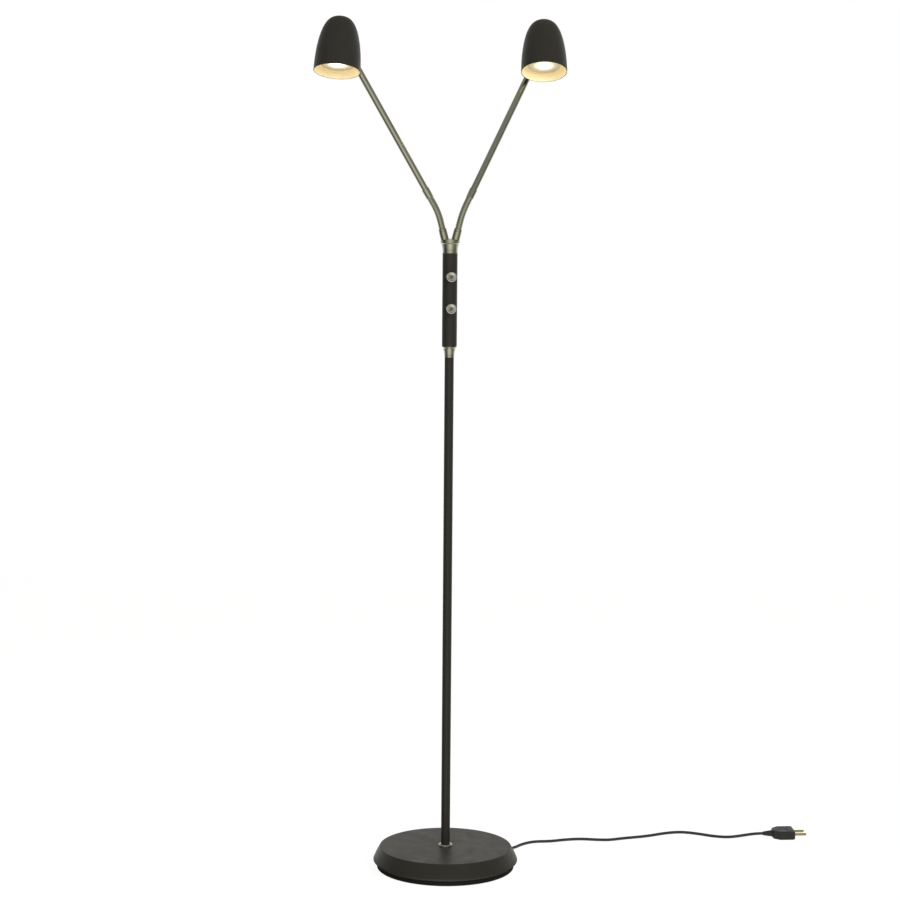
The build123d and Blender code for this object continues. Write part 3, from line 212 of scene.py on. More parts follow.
def make_object(name, mesh_builder):
    """A smooth-shaded mesh object from a bmesh, its sharp edges kept sharp."""
    mesh = bpy.data.meshes.new(name)
    bmesh.ops.recalc_face_normals(mesh_builder, faces=mesh_builder.faces)
    mesh_builder.to_mesh(mesh)
    mesh_builder.free()
    for polygon in mesh.polygons:
        polygon.use_smooth = True
    mesh.set_sharp_from_angle(angle=sharp_angle)
    piece = bpy.data.objects.new(name, mesh)
    bpy.context.scene.collection.objects.link(piece)
    mesh.materials.append(None)
    return piece


def square_axes(axis):
    """Two directions square to an axis and to each other."""
    axis = Vector(axis).normalized()
    aside = axis.orthogonal().normalized()
    return aside, axis.cross(aside)


def add_ring(mesh, centre, first, second, radius, segments):
    """A ring of vertices; a zero radius gives one vertex."""
    if radius < no_radius:
        return [mesh.verts.new(centre)]
    return [
        mesh.verts.new(
            centre
            + first * (radius * math.cos(2 * math.pi * step / segments))
            + second * (radius * math.sin(2 * math.pi * step / segments))
        )
        for step in range(segments)
    ]


def join_rings(mesh, lower, upper):
    """Faces between two rings of vertices, either of which may be a single point."""
    count = max(len(lower), len(upper))
    for step in range(count):
        following = (step + 1) % count
        corners = [
            lower[step % len(lower)],
            lower[following % len(lower)],
            upper[following % len(upper)],
            upper[step % len(upper)],
        ]
        unique = list(dict.fromkeys(corners))
        if len(unique) > 2:
            mesh.faces.new(unique)


def lathe(name, outline, origin, axis, segments=96):
    """Turns (radius, height) points about an axis into a closed shell."""
    first, second = square_axes(axis)
    mesh = bmesh.new()
    rings = [
        add_ring(mesh, origin + axis * height, first, second, radius, segments)
        for radius, height in outline
    ]
    closed = len(rings[0]) > 1 or len(rings[-1]) > 1
    pairs = list(zip(rings, rings[1:]))
    if closed:
        pairs.append((rings[-1], rings[0]))
    for lower, upper in pairs:
        join_rings(mesh, lower, upper)
    return make_object(name, mesh)


# ---------------------------------------------------------------- where the arms and heads stand
ferrule_length = 16.5 * MM
hose_radius = 5.2 * MM
hose_bore = 3.2 * MM
hose_length = 50.0 * MM
arm_reach = 242.2 * MM
shade_radius = 34.8 * MM
shade_height = 84.5 * MM
shade_wall = 1.2 * MM
side_power = 3.105
crown_power = 1.915
stud_height = 40.0 * MM
stud_stand_off = 14.13 * MM
lens_radius = 22.0 * MM
lens_foot = 10.4 * MM         # from the rim up to the lens
lens_thickness = 2.0 * MM


def face_normal(node):
    """The direction of a node's largest flat face, pointing up."""
    areas = {}
    for polygon in nodes[node].data.polygons:
        key = tuple(round(value, 3) for value in polygon.normal)
        areas[key] = areas.get(key, 0.0) + polygon.area
    normal = Vector(max(areas, key=areas.get)).normalized()
    return normal if normal.z > 0 else -normal


def shade_radius_at(height):
    return shade_radius * (1 - (height / shade_height) ** crown_power) ** (1 / side_power)


class Arm:
    """The points and directions of one side, read from the joints."""

    def __init__(self, side):
        self.side = side
        self.mouth = Vector(joints[f"{side}_neck_turn"]["pos_m"])
        self.up = Vector(joints[f"{side}_neck_turn"]["axis"]).normalized()
        self.pivot = Vector(joints[f"{side}_neck_bend"]["pos_m"])
        self.bend_axis = Vector(joints[f"{side}_neck_bend"]["axis"]).normalized()
        self.knuckle = Vector(joints[f"{side}_head_tilt"]["pos_m"])
        self.facing = Vector(joints[f"{side}_head_turn"]["axis"]).normalized()
        self.along = (self.knuckle - self.pivot).normalized()
        self.inward = self.bend_axis.cross(self.up)
        self.bend = self.up.angle(self.along)
        self.straight = 2 * hose_radius
        self.arc_radius = (hose_length - 2 * self.straight) / self.bend
        self.hose_foot = self.mouth + self.up * ferrule_length
        self.arc_start = self.hose_foot + self.up * self.straight
        self.hose_end = self.knuckle - self.along * arm_reach
        self.crown = face_normal(f"{side}_lamp_lens")
        reach = shade_radius_at(stud_height) + stud_stand_off
        self.rim = self.knuckle + self.facing * reach - self.crown * stud_height
        self.lens_middle = self.rim + self.crown * lens_foot

    def hose_point(self, length):
        """Point and direction at a length of the gooseneck: straight, bent, straight."""
        if length <= self.straight:
            return self.hose_foot + self.up * length, self.up
        if length >= hose_length - self.straight:
            return self.hose_end - self.along * (hose_length - length), self.along
        angle = (length - self.straight) / self.arc_radius
        sweep = self.up * math.sin(angle) + self.inward * (1 - math.cos(angle))
        direction = self.up * math.cos(angle) + self.inward * math.sin(angle)
        return self.arc_start + sweep * self.arc_radius, direction


arms = {side: Arm(side) for side in ("left", "right")}


# ---------------------------------------------------------------- goosenecks
hose_ribs = 20
rings_per_rib = 10
hose_segments = 48
valley_depth = 0.75 * MM


def make_gooseneck(arm):
    """A wound metal hose: round ribs that climb as a helix between two square ends."""
    mesh = bmesh.new()
    count = hose_ribs * rings_per_rib
    outer, inner = [], []
    for index in range(count + 1):
        centre, direction = arm.hose_point(hose_length * index / count)
        first = arm.bend_axis
        second = direction.cross(first)
        outside = []
        for step in range(hose_segments):
            angle = 2 * math.pi * step / hose_segments
            phase = (index / rings_per_rib - step / hose_segments) % 1.0
            rise = math.sqrt(max(0.0, 1 - (2 * phase - 1) ** 2))
            radius = hose_radius - valley_depth * (1 - rise)
            outside.append(mesh.verts.new(
                centre + (first * math.cos(angle) + second * math.sin(angle)) * radius
            ))
        outer.append(outside)
        inner.append(add_ring(mesh, centre, first, second, hose_bore, hose_segments))
    for rings in (outer, inner):
        for lower, upper in zip(rings, rings[1:]):
            join_rings(mesh, lower, upper)
    join_rings(mesh, outer[0], inner[0])
    join_rings(mesh, outer[-1], inner[-1])
    hose = make_object(f"{arm.side}_gooseneck_hose", mesh)
    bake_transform(hose)
    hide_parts(f"{arm.side}_gooseneck")
    return hose


hoses = [make_gooseneck(arm) for arm in arms.values()]


# ---------------------------------------------------------------- shades
outline_steps = 40
rim_round = 0.5 * MM
rim_steps = 6
crown_reach = shade_radius / 9     # nearer the axis than this, a face lies in the crown


def shade_outline(radius, height, steps):
    """(radius, height) points from the rim to the crown of the shade's form."""
    points = []
    for step in range(steps + 1):
        angle = math.pi / 2 * step / steps
        points.append((
            radius * max(0.0, math.cos(angle)) ** (2 / side_power),
            height * math.sin(angle) ** (2 / crown_power),
        ))
    points[-1] = (0.0, height)
    return points


def make_shade(arm):
    """The shade as a spun shell: painted outside, cream inside, its rim rolled."""
    outer = shade_outline(shade_radius, shade_height, outline_steps)
    inner = shade_outline(shade_radius - shade_wall, shade_height - shade_wall, outline_steps)
    outer[0] = (shade_radius, rim_round)
    inner[0] = (shade_radius - shade_wall, rim_round)
    middle = shade_radius - shade_wall / 2
    roll = [
        (middle - shade_wall / 2 * math.cos(math.pi * step / rim_steps),
         rim_round * (1 - math.sin(math.pi * step / rim_steps)))
        for step in range(1, rim_steps)
    ]
    outline = [*reversed(inner), *roll, *outer]
    shell = lathe(f"{arm.side}_shade_shell", outline, arm.rim, arm.crown)
    shell.data.materials.append(None)
    for polygon in shell.data.polygons:
        centre = polygon.center - arm.rim
        height = centre.dot(arm.crown)
        radial = centre - arm.crown * height
        faces_in = polygon.normal.dot(radial) < 0
        faces_down = radial.length < crown_reach and polygon.normal.dot(arm.crown) < 0
        above_roll = height > rim_round / 2
        polygon.material_index = 1 if (faces_in or faces_down) and above_roll else 0
    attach(shell, f"{arm.side}_head")
    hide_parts(f"{arm.side}_shade")
    return shell


shades = [make_shade(arm) for arm in arms.values()]


# ---------------------------------------------------------------- lenses
flute_pitch = 2.2 * MM
flute_depth = 0.22 * MM
lens_edge = 0.5 * MM
lens_steps = 60


def make_lens(arm):
    """The lamp's front glass: flat behind, with ring flutes and a rounded edge in front."""
    face = []
    for step in range(lens_steps + 1):
        radius = lens_radius * step / lens_steps
        wave = 0.5 - 0.5 * math.cos(2 * math.pi * radius / flute_pitch)
        edge = max(0.0, radius - lens_radius + lens_edge)
        face.append((radius, flute_depth * wave + edge))
    outline = [*face, (lens_radius, lens_thickness), (0.0, lens_thickness)]
    lens = lathe(f"{arm.side}_lens_glass", outline, arm.lens_middle, arm.crown)
    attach(lens, f"{arm.side}_head")
    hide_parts(f"{arm.side}_lamp_lens")
    return lens


lenses = {side: make_lens(arm) for side, arm in arms.items()}


# ---------------------------------------------------------------- strain relief
exit_azimuth = math.radians(125.0)
grip_inner = 98.0 * MM        # from the lamp's axis
grip_tail = 106.3 * MM
grip_end = 130.0 * MM
grip_shank_radius = 3.25 * MM
grip_tail_radius = 3.5 * MM
grip_tip_radius = 2.8 * MM
grip_groove = 0.55 * MM
grip_rings = 6
# one ring and its groove: (share of the pitch, share of the groove's depth)
ring_profile = ((0.0, 0.0), (0.12, 0.0), (0.62, 0.0), (0.7, 1.0), (0.92, 1.0))


def make_strain_relief():
    """The moulded grip on the cord's exit: a plain shank, then rings that taper off."""
    direction = Vector((math.cos(exit_azimuth), math.sin(exit_azimuth), 0.0))
    origin = direction * grip_inner + Vector((0.0, 0.0, cord_exit[2] * MM))
    start, end = grip_tail - grip_inner, grip_end - grip_inner
    outline = [(0.0, 0.0), (grip_shank_radius, 0.0), (grip_shank_radius, start)]
    pitch = (end - start) / grip_rings
    for ring in range(grip_rings):
        for share, depth in ring_profile:
            height = start + (ring + share) * pitch
            taper = (height - start) / (end - start)
            radius = grip_tail_radius + (grip_tip_radius - grip_tail_radius) * taper
            outline.append((radius - grip_groove * depth * (ring < grip_rings - 1), height))
    outline += [(grip_tip_radius, end), (0.0, end)]
    grip = lathe("strain_relief", outline, origin, direction, segments=48)
    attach(grip, "base")
    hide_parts("cord_grip")
    return grip


strain_relief = make_strain_relief()


# ---------------------------------------------------------------- tie
tie_width = 8.0 * MM
tie_thickness = 0.7 * MM      # of the two layers where the strap lies double
tie_overlap = 0.32            # share of the loop's points that are laid twice
tie_corner = 2.2 * MM
corner_steps = 8
# the strap's cross section: (share of half its width, share of its depth)
strap_profile = (
    (-1, 0.15), (-0.93, 0.0), (0.93, 0.0), (1, 0.15),
    (1, 0.85), (0.93, 1.0), (-0.93, 1.0), (-1, 0.85),
)


def make_tie():
    """A strap round the bundle, its end laid over its start."""
    low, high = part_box("cord_tie")
    middle_y = (low.y + high.y) / 2
    width, height = high.x - low.x, high.z - low.z
    aside = width / 2 - tie_corner
    loop = []
    corners = (
        (aside, tie_corner, -90),
        (aside, height - tie_corner, 0),
        (-aside, height - tie_corner, 90),
        (-aside, tie_corner, 180),
    )
    for across, up, start in corners:
        for step in range(corner_steps + 1):
            angle = math.radians(start + 90 * step / corner_steps)
            loop.append((
                across + tie_corner * math.cos(angle),
                up + tie_corner * math.sin(angle),
                angle,
            ))
    double = int(len(loop) * tie_overlap)
    mesh = bmesh.new()
    rings = []
    for index in range(len(loop) + double):
        across, up, angle = loop[index % len(loop)]
        inset = tie_thickness / 2 if index < len(loop) else 0.0
        outward = Vector((math.cos(angle), 0.0, math.sin(angle)))
        centre = Vector(((low.x + high.x) / 2 + across, middle_y, low.z + up)) - outward * inset
        ring = []
        for side, depth in strap_profile:
            sideways = Vector((0.0, side * tie_width / 2, 0.0))
            offset = sideways - outward * (depth * tie_thickness / 2)
            ring.append(mesh.verts.new(centre + offset))
        rings.append(ring)
    for lower, upper in zip(rings, rings[1:]):
        join_rings(mesh, lower, upper)
    mesh.faces.new(rings[0])
    mesh.faces.new(rings[-1])
    tie = make_object("cord_strap", mesh)
    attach(tie, "base")
    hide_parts("cord_tie")
    return tie


cord_strap = make_tie()


# ---------------------------------------------------------------- inner lead
lead_radius = 1.8 * MM
lead_points_inside = [
    (-56.2, 80.3, 5.1),
    (-40.0, 57.1, 5.1),
    (-26.0, 37.1, 5.1),
    (-13.0, 18.6, 5.1),
    (-3.0, 4.3, 5.3),
    (0.0, 0.0, 12.0),
    (0.0, 0.0, 30.0),
    (0.0, 0.0, 300.0),
    (0.0, 0.0, 860.0),
]
inner_lead = spline_curve("inner_lead", lead_points_inside, lead_radius)
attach(inner_lead, "base")
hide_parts("inner_cable")


# ---------------------------------------------------------------- felt disc
felt_edge_share = 1.6         # the rounded edge's width over the felt's thickness
felt_edge_steps = 12


def make_pad():
    """The felt disc underneath, rounded at its edge."""
    low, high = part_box("floor_pad")
    radius, thickness = (high.x - low.x) / 2, high.z - low.z
    edge = felt_edge_share * thickness
    rim = [
        (radius - edge + edge * math.sin(math.pi * step / felt_edge_steps),
         thickness * (0.5 + 0.5 * math.cos(math.pi * step / felt_edge_steps)))
        for step in range(felt_edge_steps + 1)
    ]
    outline = [(0.0, thickness), (radius / 2, thickness), *rim, (radius / 2, 0.0), (0.0, 0.0)]
    origin, upward = Vector((0.0, 0.0, low.z)), Vector((0.0, 0.0, 1.0))
    pad = lathe("felt_disc", outline, origin, upward, segments=144)
    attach(pad, "base")
    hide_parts("floor_pad")
    return pad


felt_disc = make_pad()


# ---------------------------------------------------------------- finishes
class Finish:
    """A node material: one principled shader, and short ways to vary it."""

    def __init__(self, name, **sockets):
        self.material = bpy.data.materials.new(name)
        self.material.use_nodes = True
        self.tree = self.material.node_tree
        self.shader = self.tree.nodes["Principled BSDF"]
        self.place = self.add("TexCoord").outputs["Object"]
        for socket, value in sockets.items():
            self.shader.inputs[socket.replace("_", " ")].default_value = value

    def add(self, kind, inputs=None, **settings):
        node = self.tree.nodes.new("ShaderNode" + kind)
        for key, value in settings.items():
            setattr(node, key, value)
        for key, value in (inputs or {}).items():
            self.feed(node.inputs[key], value)
        return node

    def feed(self, socket, value):
        if isinstance(value, bpy.types.NodeSocket):
            self.tree.links.new(value, socket)
        else:
            socket.default_value = value

    def noise(self, scale, detail=3.0, stretch=(1.0, 1.0, 1.0)):
        place = self.add("Mapping", {"Vector": self.place, "Scale": stretch}).outputs["Vector"]
        settings = {"Vector": place, "Scale": scale, "Detail": detail}
        return self.add("TexNoise", settings).outputs["Fac"]

    def cells(self, scale, output="Distance"):
        return self.add("TexVoronoi", {"Vector": self.place, "Scale": scale}).outputs[output]

    def span(self, source, low, high, start, end):
        """A value from start to end as the source goes from low to high."""
        return self.add("MapRange", {0: source, 1: low, 2: high, 3: start, 4: end}).outputs[0]

    def blend(self, share, first, second):
        node = self.add("Mix", data_type="RGBA")
        self.feed(node.inputs[0], share)
        self.feed(node.inputs[6], first)
        self.feed(node.inputs[7], second)
        return node.outputs[2]

    def product(self, first, second):
        return self.add("Math", {0: first, 1: second}, operation="MULTIPLY").outputs[0]

    def total(self, first, second):
        return self.add("Math", {0: first, 1: second}, operation="ADD").outputs[0]

    def colour(self, value):
        self.feed(self.shader.inputs["Base Color"], value)

    def roughness(self, value):
        self.feed(self.shader.inputs["Roughness"], value)

    def bump(self, height, depth, strength=1.0):
        """Raises the surface by up to a depth, in metres."""
        bump = self.add("Bump", {"Height": height, "Distance": depth, "Strength": strength})
        self.feed(self.shader.inputs["Normal"], bump.outputs["Normal"])


def rgb(red, green, blue):
    return (red, green, blue, 1.0)


def facing_up(finish, low, high):
    """A share that rises to 1 where the surface faces up."""
    normal = finish.add("NewGeometry").outputs["Normal"]
    up = finish.add("SeparateXYZ", {"Vector": normal}).outputs["Z"]
    return finish.span(up, low, high, 0.0, 1.0)


def black_metal():
    finish = Finish("black_satin_paint", Specular_IOR_Level=0.36)
    cloud = finish.noise(14, 4)
    speck = finish.span(finish.noise(2600, 2), 0.62, 0.75, 0.0, 1.0)
    paint = finish.blend(cloud, rgb(0.020, 0.0183, 0.0152), rgb(0.026, 0.024, 0.0204))
    paint = finish.blend(finish.product(speck, 0.2), paint, rgb(0.06, 0.056, 0.05))
    # Faces that look up are lightened in cloudy patches: partly settled dust, partly a painted sheen for light
    # grazing the base's top.
    dust_and_sheen_amount = finish.span(finish.noise(160, 6), 0.3, 0.8, 0.1, 0.26)
    dust_and_sheen = finish.product(facing_up(finish, 0.75, 1.0), dust_and_sheen_amount)
    finish.colour(finish.blend(dust_and_sheen, paint, rgb(0.115, 0.102, 0.086)))
    finish.roughness(finish.span(finish.noise(45, 5), 0.3, 0.7, 0.4, 0.5))
    finish.bump(finish.noise(1500, 3), 0.00004, 0.45)
    return finish.material


def chrome():
    finish = Finish("polished_chrome", Metallic=1.0)
    smudge = finish.noise(60, 5)
    finish.colour(finish.blend(smudge, rgb(0.46, 0.46, 0.40), rgb(0.56, 0.56, 0.50)))
    scratch = finish.span(finish.noise(900, 2, (1.0, 1.0, 0.04)), 0.62, 0.72, 0.0, 0.14)
    finish.roughness(finish.total(finish.span(smudge, 0.3, 0.75, 0.06, 0.15), scratch))
    finish.bump(finish.noise(420, 2), 0.00002, 0.3)
    return finish.material


def knob_chrome(joint):
    """Chrome with a turned face: a bright rim round a finely grooved middle, darkened by a painted dark
    reflection.
    """
    finish = Finish(f"{joint}_chrome", Metallic=1.0)
    middle, axis = Vector(joints[joint]["pos_m"]), Vector(joints[joint]["axis"]).normalized()
    offset = finish.add("VectorMath", {0: finish.place, 1: middle}, operation="SUBTRACT").outputs[0]
    across = finish.add("VectorMath", {0: offset, 1: axis}, operation="CROSS_PRODUCT").outputs[0]
    radius = finish.add("VectorMath", {0: across}, operation="LENGTH").outputs["Value"]
    grooves = finish.add("Math", {0: finish.product(radius, 16000.0)}, operation="SINE").outputs[0]
    face = finish.span(radius, 2.6 * MM, 3.8 * MM, 1.0, 0.0)
    worn = finish.blend(finish.noise(300, 5), rgb(0.50, 0.50, 0.48), rgb(0.70, 0.69, 0.67))
    # The middle is tinted dark: a painted reflection of dark surroundings in the domed chrome face.
    finish.colour(finish.blend(finish.product(face, 0.85), worn, rgb(0.13, 0.128, 0.122)))
    finish.roughness(finish.span(finish.noise(500, 3), 0.3, 0.7, 0.1, 0.22))
    finish.bump(finish.product(grooves, face), 0.00003, 0.6)
    return finish.material


def plain_steel():
    finish = Finish("turned_steel", Metallic=1.0)
    lines = finish.noise(700, 3, (1.0, 1.0, 12.0))
    finish.colour(finish.blend(lines, rgb(0.42, 0.42, 0.41), rgb(0.6, 0.6, 0.59)))
    finish.roughness(finish.span(lines, 0.2, 0.8, 0.25, 0.42))
    finish.bump(lines, 0.00003, 0.4)
    return finish.material


def zinc_plate():
    finish = Finish("zinc_plate", Metallic=1.0)
    spangle = finish.cells(160, "Color")
    grey = finish.add("SeparateColor", {"Color": spangle}).outputs[0]
    finish.colour(finish.blend(grey, rgb(0.5, 0.5, 0.48), rgb(0.68, 0.68, 0.65)))
    finish.roughness(finish.span(grey, 0.0, 1.0, 0.3, 0.48))
    finish.bump(finish.noise(900, 4), 0.00003, 0.4)
    return finish.material


def cast_iron():
    finish = Finish("cast_iron", Metallic=0.7)
    grain = finish.noise(520, 6)
    finish.colour(finish.blend(grain, rgb(0.07, 0.07, 0.07), rgb(0.16, 0.155, 0.15)))
    finish.roughness(finish.span(grain, 0.2, 0.8, 0.6, 0.85))
    finish.bump(grain, 0.0003, 0.8)
    return finish.material


def black_felt():
    finish = Finish("black_felt", Sheen_Weight=0.4, Sheen_Roughness=0.6)
    fibres = finish.noise(1400, 8, (1.0, 1.0, 0.4))
    finish.colour(finish.blend(fibres, rgb(0.012, 0.012, 0.012), rgb(0.05, 0.05, 0.05)))
    finish.roughness(finish.span(fibres, 0.2, 0.8, 0.85, 1.0))
    finish.bump(fibres, 0.0004, 0.9)
    return finish.material


def black_rubber():
    finish = Finish("black_rubber", Specular_IOR_Level=0.15)
    grain = finish.noise(900, 5)
    bloom = finish.span(finish.noise(40, 5), 0.5, 0.8, 0.0, 0.6)
    base = finish.blend(grain, rgb(0.007, 0.007, 0.0065), rgb(0.012, 0.012, 0.011))
    finish.colour(finish.blend(bloom, base, rgb(0.02, 0.0195, 0.0185)))
    finish.roughness(finish.span(grain, 0.2, 0.8, 0.55, 0.75))
    finish.bump(grain, 0.00006, 0.6)
    return finish.material


def black_plastic():
    finish = Finish("black_plastic")
    grain = finish.cells(1500)
    cloud = finish.noise(60, 4)
    finish.colour(finish.blend(cloud, rgb(0.015, 0.015, 0.015), rgb(0.03, 0.03, 0.029)))
    finish.roughness(finish.span(finish.noise(120, 4), 0.3, 0.7, 0.38, 0.55))
    finish.bump(grain, 0.00008, 0.5)
    return finish.material


def cord_jacket():
    finish = Finish("cord_jacket")
    grain = finish.noise(700, 4)
    cloud = finish.noise(50, 4)
    finish.colour(finish.blend(cloud, rgb(0.018, 0.019, 0.02), rgb(0.036, 0.037, 0.038)))
    finish.roughness(finish.span(grain, 0.2, 0.8, 0.34, 0.5))
    finish.bump(grain, 0.00008, 0.5)
    return finish.material


def hook_strap():
    finish = Finish("strap_weave", Sheen_Weight=0.3)
    loops = finish.cells(1700)
    finish.colour(finish.blend(loops, rgb(0.05, 0.05, 0.05), rgb(0.012, 0.012, 0.012)))
    finish.roughness(finish.span(loops, 0.0, 1.0, 0.7, 0.95))
    finish.bump(loops, 0.0002, 0.8)
    return finish.material


def white_ceramic():
    finish = Finish("white_ceramic")
    specks = finish.span(finish.noise(1300, 2), 0.68, 0.74, 0.0, 0.5)
    base = finish.blend(finish.noise(80, 4), rgb(0.78, 0.76, 0.71), rgb(0.86, 0.84, 0.8))
    finish.colour(finish.blend(specks, base, rgb(0.45, 0.42, 0.38)))
    finish.roughness(finish.span(finish.noise(300, 3), 0.3, 0.7, 0.55, 0.75))
    finish.bump(finish.noise(1100, 4), 0.00006, 0.5)
    return finish.material


def lamp_white():
    glow = rgb(1.0, 0.74, 0.38)
    finish = Finish("reflector_white", Emission_Color=glow, Emission_Strength=0.12)
    finish.colour(finish.blend(finish.noise(120, 4), rgb(0.66, 0.56, 0.38), rgb(0.74, 0.65, 0.46)))
    finish.roughness(finish.span(finish.noise(200, 4), 0.3, 0.7, 0.22, 0.36))
    finish.bump(finish.noise(500, 3), 0.00003, 0.4)
    return finish.material


def lit_lens(arm):
    """Fluted glass, brightest in its middle."""
    finish = Finish(f"{arm.side}_lit_lens", Emission_Color=rgb(1.0, 0.86, 0.56))
    ends = {0: finish.place, 1: arm.lens_middle}
    off_middle = finish.add("VectorMath", ends, operation="DISTANCE").outputs["Value"]
    inward = finish.span(off_middle, 0.0, lens_radius, 1.0, 0.0)
    fall = finish.add("Math", {0: inward, 1: 3.5}, operation="POWER").outputs[0]
    glow = finish.total(finish.product(fall, 14.0), 0.26)
    finish.feed(finish.shader.inputs["Emission Strength"], glow)
    facets = finish.cells(420)
    finish.colour(finish.blend(facets, rgb(0.62, 0.55, 0.38), rgb(0.55, 0.48, 0.32)))
    finish.roughness(finish.span(facets, 0.0, 1.0, 0.08, 0.25))
    finish.bump(facets, 0.0004, 0.8)
    return finish.material


# The shades' cream inner paint glows faintly: painted lamplight standing in for the lamp lighting the walls.
def cream_enamel_painted_lamplight():
    finish = Finish("cream_enamel_painted_lamplight", Emission_Color=rgb(1.0, 0.83, 0.46), Emission_Strength=0.29)
    streaks = finish.noise(45, 4)
    finish.colour(finish.blend(streaks, rgb(0.84, 0.75, 0.52), rgb(0.9, 0.82, 0.6)))
    finish.roughness(finish.span(finish.noise(150, 4), 0.3, 0.7, 0.25, 0.42))
    finish.bump(finish.noise(700, 3), 0.00004, 0.4)
    return finish.material


def brass():
    finish = Finish("brass", Metallic=1.0)
    tarnish = finish.noise(240, 5)
    finish.colour(finish.blend(tarnish, rgb(0.55, 0.42, 0.2), rgb(0.78, 0.62, 0.32)))
    finish.roughness(finish.span(tarnish, 0.25, 0.75, 0.18, 0.42))
    finish.bump(tarnish, 0.00003, 0.4)
    return finish.material


finishes = {
    "black_metal": black_metal(),
    "chrome": chrome(),
    "steel": plain_steel(),
    "zinc": zinc_plate(),
    "iron": cast_iron(),
    "felt": black_felt(),
    "black_rubber": black_rubber(),
    "black_plastic": black_plastic(),
    "cord": cord_jacket(),
    "cord_tie": hook_strap(),
    "ceramic": white_ceramic(),
    "lamp_white": lamp_white(),
    "lamp_glass": None,
    "brass": brass(),
}
cream = cream_enamel_painted_lamplight()
for node, piece in nodes.items():
    for material_slot in piece.material_slots:
        material_slot.material = finishes[slot_of[node]]
for side in ("lower", "upper"):
    for material_slot in nodes[f"{side}_knob"].material_slots:
        material_slot.material = knob_chrome(f"{side}_dimmer_turn")
mains_cord.data.materials.append(finishes["cord"])
for hose in hoses:
    hose.data.materials[0] = finishes["chrome"]
for shade in shades:
    shade.data.materials[0] = finishes["black_metal"]
    shade.data.materials[1] = cream
for side, lens in lenses.items():
    lens.data.materials[0] = lit_lens(arms[side])
strain_relief.data.materials[0] = finishes["cord"]
inner_lead.data.materials.append(finishes["cord"])
felt_disc.data.materials[0] = finishes["felt"]
cord_strap.data.materials[0] = finishes["cord_tie"]


# ---------------------------------------------------------------- studio
# what a reflection shows: degrees round from straight ahead, left negative, and the colour
room_tones = (
    (-180, (1.0, 1.0, 1.0)),
    (-130, (0.85, 0.85, 0.82)),
    (-104, (0.30, 0.30, 0.24)),
    (-84, (0.055, 0.055, 0.04)),
    (-62, (0.09, 0.09, 0.07)),
    (-38, (0.34, 0.34, 0.27)),
    (-14, (0.66, 0.66, 0.55)),
    (0, (0.86, 0.86, 0.72)),
    (16, (0.66, 0.66, 0.54)),
    (40, (0.38, 0.38, 0.30)),
    (62, (0.18, 0.18, 0.14)),
    (88, (0.15, 0.15, 0.11)),
    (112, (0.50, 0.50, 0.42)),
    (138, (0.9, 0.9, 0.88)),
    (180, (1.0, 1.0, 1.0)),
)


def add_area(name, place, target, size, power, tint):
    """A soft lamp that lights matt surfaces; reflections show the room instead of it."""
    data = bpy.data.lights.new(name, "AREA")
    data.shape = "RECTANGLE"
    data.size, data.size_y = size
    data.energy = power
    data.color = tint
    light = bpy.data.objects.new(name, data)
    light.location = place
    light.visible_glossy = False
    light.rotation_mode = "QUATERNION"
    light.rotation_quaternion = (Vector(target) - Vector(place)).to_track_quat("-Z", "Y")
    bpy.context.scene.collection.objects.link(light)


def seen_share(tree, shares):
    """How much of the glow a ray sees, by the kind of ray."""
    path = tree.nodes.new("ShaderNodeLightPath")
    total = None
    for name, value in shares.items():
        part = tree.nodes.new("ShaderNodeMath")
        part.operation = "MULTIPLY"
        tree.links.new(path.outputs[name], part.inputs[0])
        part.inputs[1].default_value = value
        if total is None:
            total = part.outputs[0]
            continue
        most = tree.nodes.new("ShaderNodeMath")
        most.operation = "MAXIMUM"
        tree.links.new(total, most.inputs[0])
        tree.links.new(part.outputs[0], most.inputs[1])
        total = most.outputs[0]
    return total


def add_ramp(tree, source, stops):
    """A colour that follows a value from 0 to 1 through (position, colour) stops."""
    ramp = tree.nodes.new("ShaderNodeValToRGB")
    elements = ramp.color_ramp.elements
    elements[0].position, elements[0].color = stops[0]
    elements[1].position, elements[1].color = stops[-1]
    for position, colour in stops[1:-1]:
        elements.new(position).color = colour
    tree.links.new(source, ramp.inputs["Fac"])
    return ramp.outputs["Color"]


def mixed(tree, share, first, second):
    node = tree.nodes.new("ShaderNodeMix")
    node.data_type = "RGBA"
    ends = ((node.inputs[0], share), (node.inputs[6], first), (node.inputs[7], second))
    for socket, value in ends:
        if isinstance(value, bpy.types.NodeSocket):
            tree.links.new(value, socket)
        else:
            socket.default_value = value
    return node.outputs[2]


def room_around(tree, direction):
    """The room by the side that it is seen on: olive in front, darker at both sides, white
    behind."""
    parts = tree.nodes.new("ShaderNodeSeparateXYZ")
    tree.links.new(direction, parts.inputs[0])
    front = tree.nodes.new("ShaderNodeMath")
    front.operation = "MULTIPLY"
    front.inputs[1].default_value = -1.0
    tree.links.new(parts.outputs["Y"], front.inputs[0])
    angle = tree.nodes.new("ShaderNodeMath")
    angle.operation = "ARCTAN2"
    tree.links.new(parts.outputs["X"], angle.inputs[0])
    tree.links.new(front.outputs[0], angle.inputs[1])
    turn = tree.nodes.new("ShaderNodeMapRange")
    turn.inputs["From Min"].default_value = -math.pi
    turn.inputs["From Max"].default_value = math.pi
    tree.links.new(angle.outputs[0], turn.inputs["Value"])
    return add_ramp(tree, turn.outputs["Result"], [
        (0.5 + degrees / 360, rgb(*tone)) for degrees, tone in room_tones
    ])


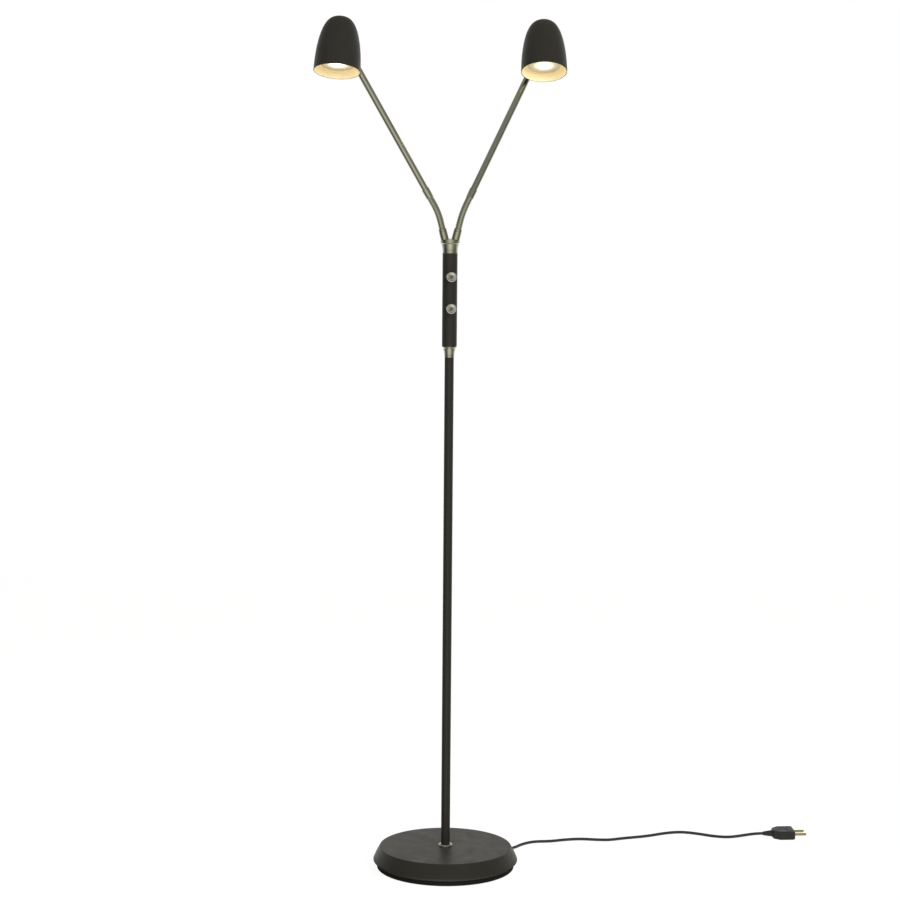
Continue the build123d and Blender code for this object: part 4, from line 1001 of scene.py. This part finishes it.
def make_floor():
    """A white floor that keeps a soft part of the lamp's shadow, and that reflections show as
    the room's."""
    mesh = bmesh.new()
    bmesh.ops.create_grid(mesh, x_segments=4, y_segments=4, size=2.4)
    floor = make_object("floor", mesh)
    material = bpy.data.materials.new("studio_floor")
    material.use_nodes = True
    tree = material.node_tree
    tree.nodes.clear()
    diffuse = tree.nodes.new("ShaderNodeBsdfDiffuse")
    diffuse.inputs["Color"].default_value = rgb(0.5, 0.5, 0.48)
    glow = tree.nodes.new("ShaderNodeEmission")
    share = seen_share(tree, {
        "Is Camera Ray": 0.72,
        "Is Transmission Ray": 0.72,
        "Is Glossy Ray": 0.96,
    })
    place = tree.nodes.new("ShaderNodeTexCoord").outputs["Object"]
    reflected = tree.nodes.new("ShaderNodeLightPath").outputs["Is Glossy Ray"]
    tone = mixed(tree, reflected, rgb(1.0, 1.0, 1.0), room_around(tree, place))
    tree.links.new(tone, glow.inputs["Color"])
    glow.inputs["Strength"].default_value = 1.28
    mix = tree.nodes.new("ShaderNodeMixShader")
    tree.links.new(share, mix.inputs[0])
    tree.links.new(diffuse.outputs[0], mix.inputs[1])
    tree.links.new(glow.outputs[0], mix.inputs[2])
    output = tree.nodes.new("ShaderNodeOutputMaterial")
    tree.links.new(mix.outputs[0], output.inputs["Surface"])
    floor.data.materials[0] = material


def make_world():
    """White where the camera looks, even grey as a light, and for reflections the room with a
    dim ceiling."""
    world = bpy.data.worlds.new("studio")
    world.use_nodes = True
    tree = world.node_tree
    background = tree.nodes["Background"]
    direction = tree.nodes.new("ShaderNodeTexCoord").outputs["Generated"]
    parts = tree.nodes.new("ShaderNodeSeparateXYZ")
    tree.links.new(direction, parts.inputs[0])
    room = room_around(tree, direction)
    rise = tree.nodes.new("ShaderNodeMapRange")
    rise.inputs["From Min"].default_value = 0.1
    rise.inputs["From Max"].default_value = 0.55
    tree.links.new(parts.outputs["Z"], rise.inputs["Value"])
    room = mixed(tree, rise.outputs["Result"], room, rgb(0.30, 0.30, 0.25))
    path = tree.nodes.new("ShaderNodeLightPath")
    lit = mixed(tree, path.outputs["Is Glossy Ray"], rgb(0.42, 0.42, 0.42), room)
    seen = mixed(tree, path.outputs["Is Camera Ray"], lit, rgb(1.0, 1.0, 1.0))
    seen = mixed(tree, path.outputs["Is Transmission Ray"], seen, rgb(1.0, 1.0, 1.0))
    tree.links.new(seen, background.inputs["Color"])
    bpy.context.scene.world = world


make_floor()
make_world()
add_area("key", (1.9, -2.4, 2.3), (0, 0, 0.7), (0.9, 1.6), 84, (1.0, 0.98, 0.95))
add_area("fill", (-2.2, -1.6, 1.6), (0, 0, 0.7), (1.0, 1.8), 14, (0.97, 0.98, 1.0))
bpy.context.scene.view_settings.view_transform = "Standard"
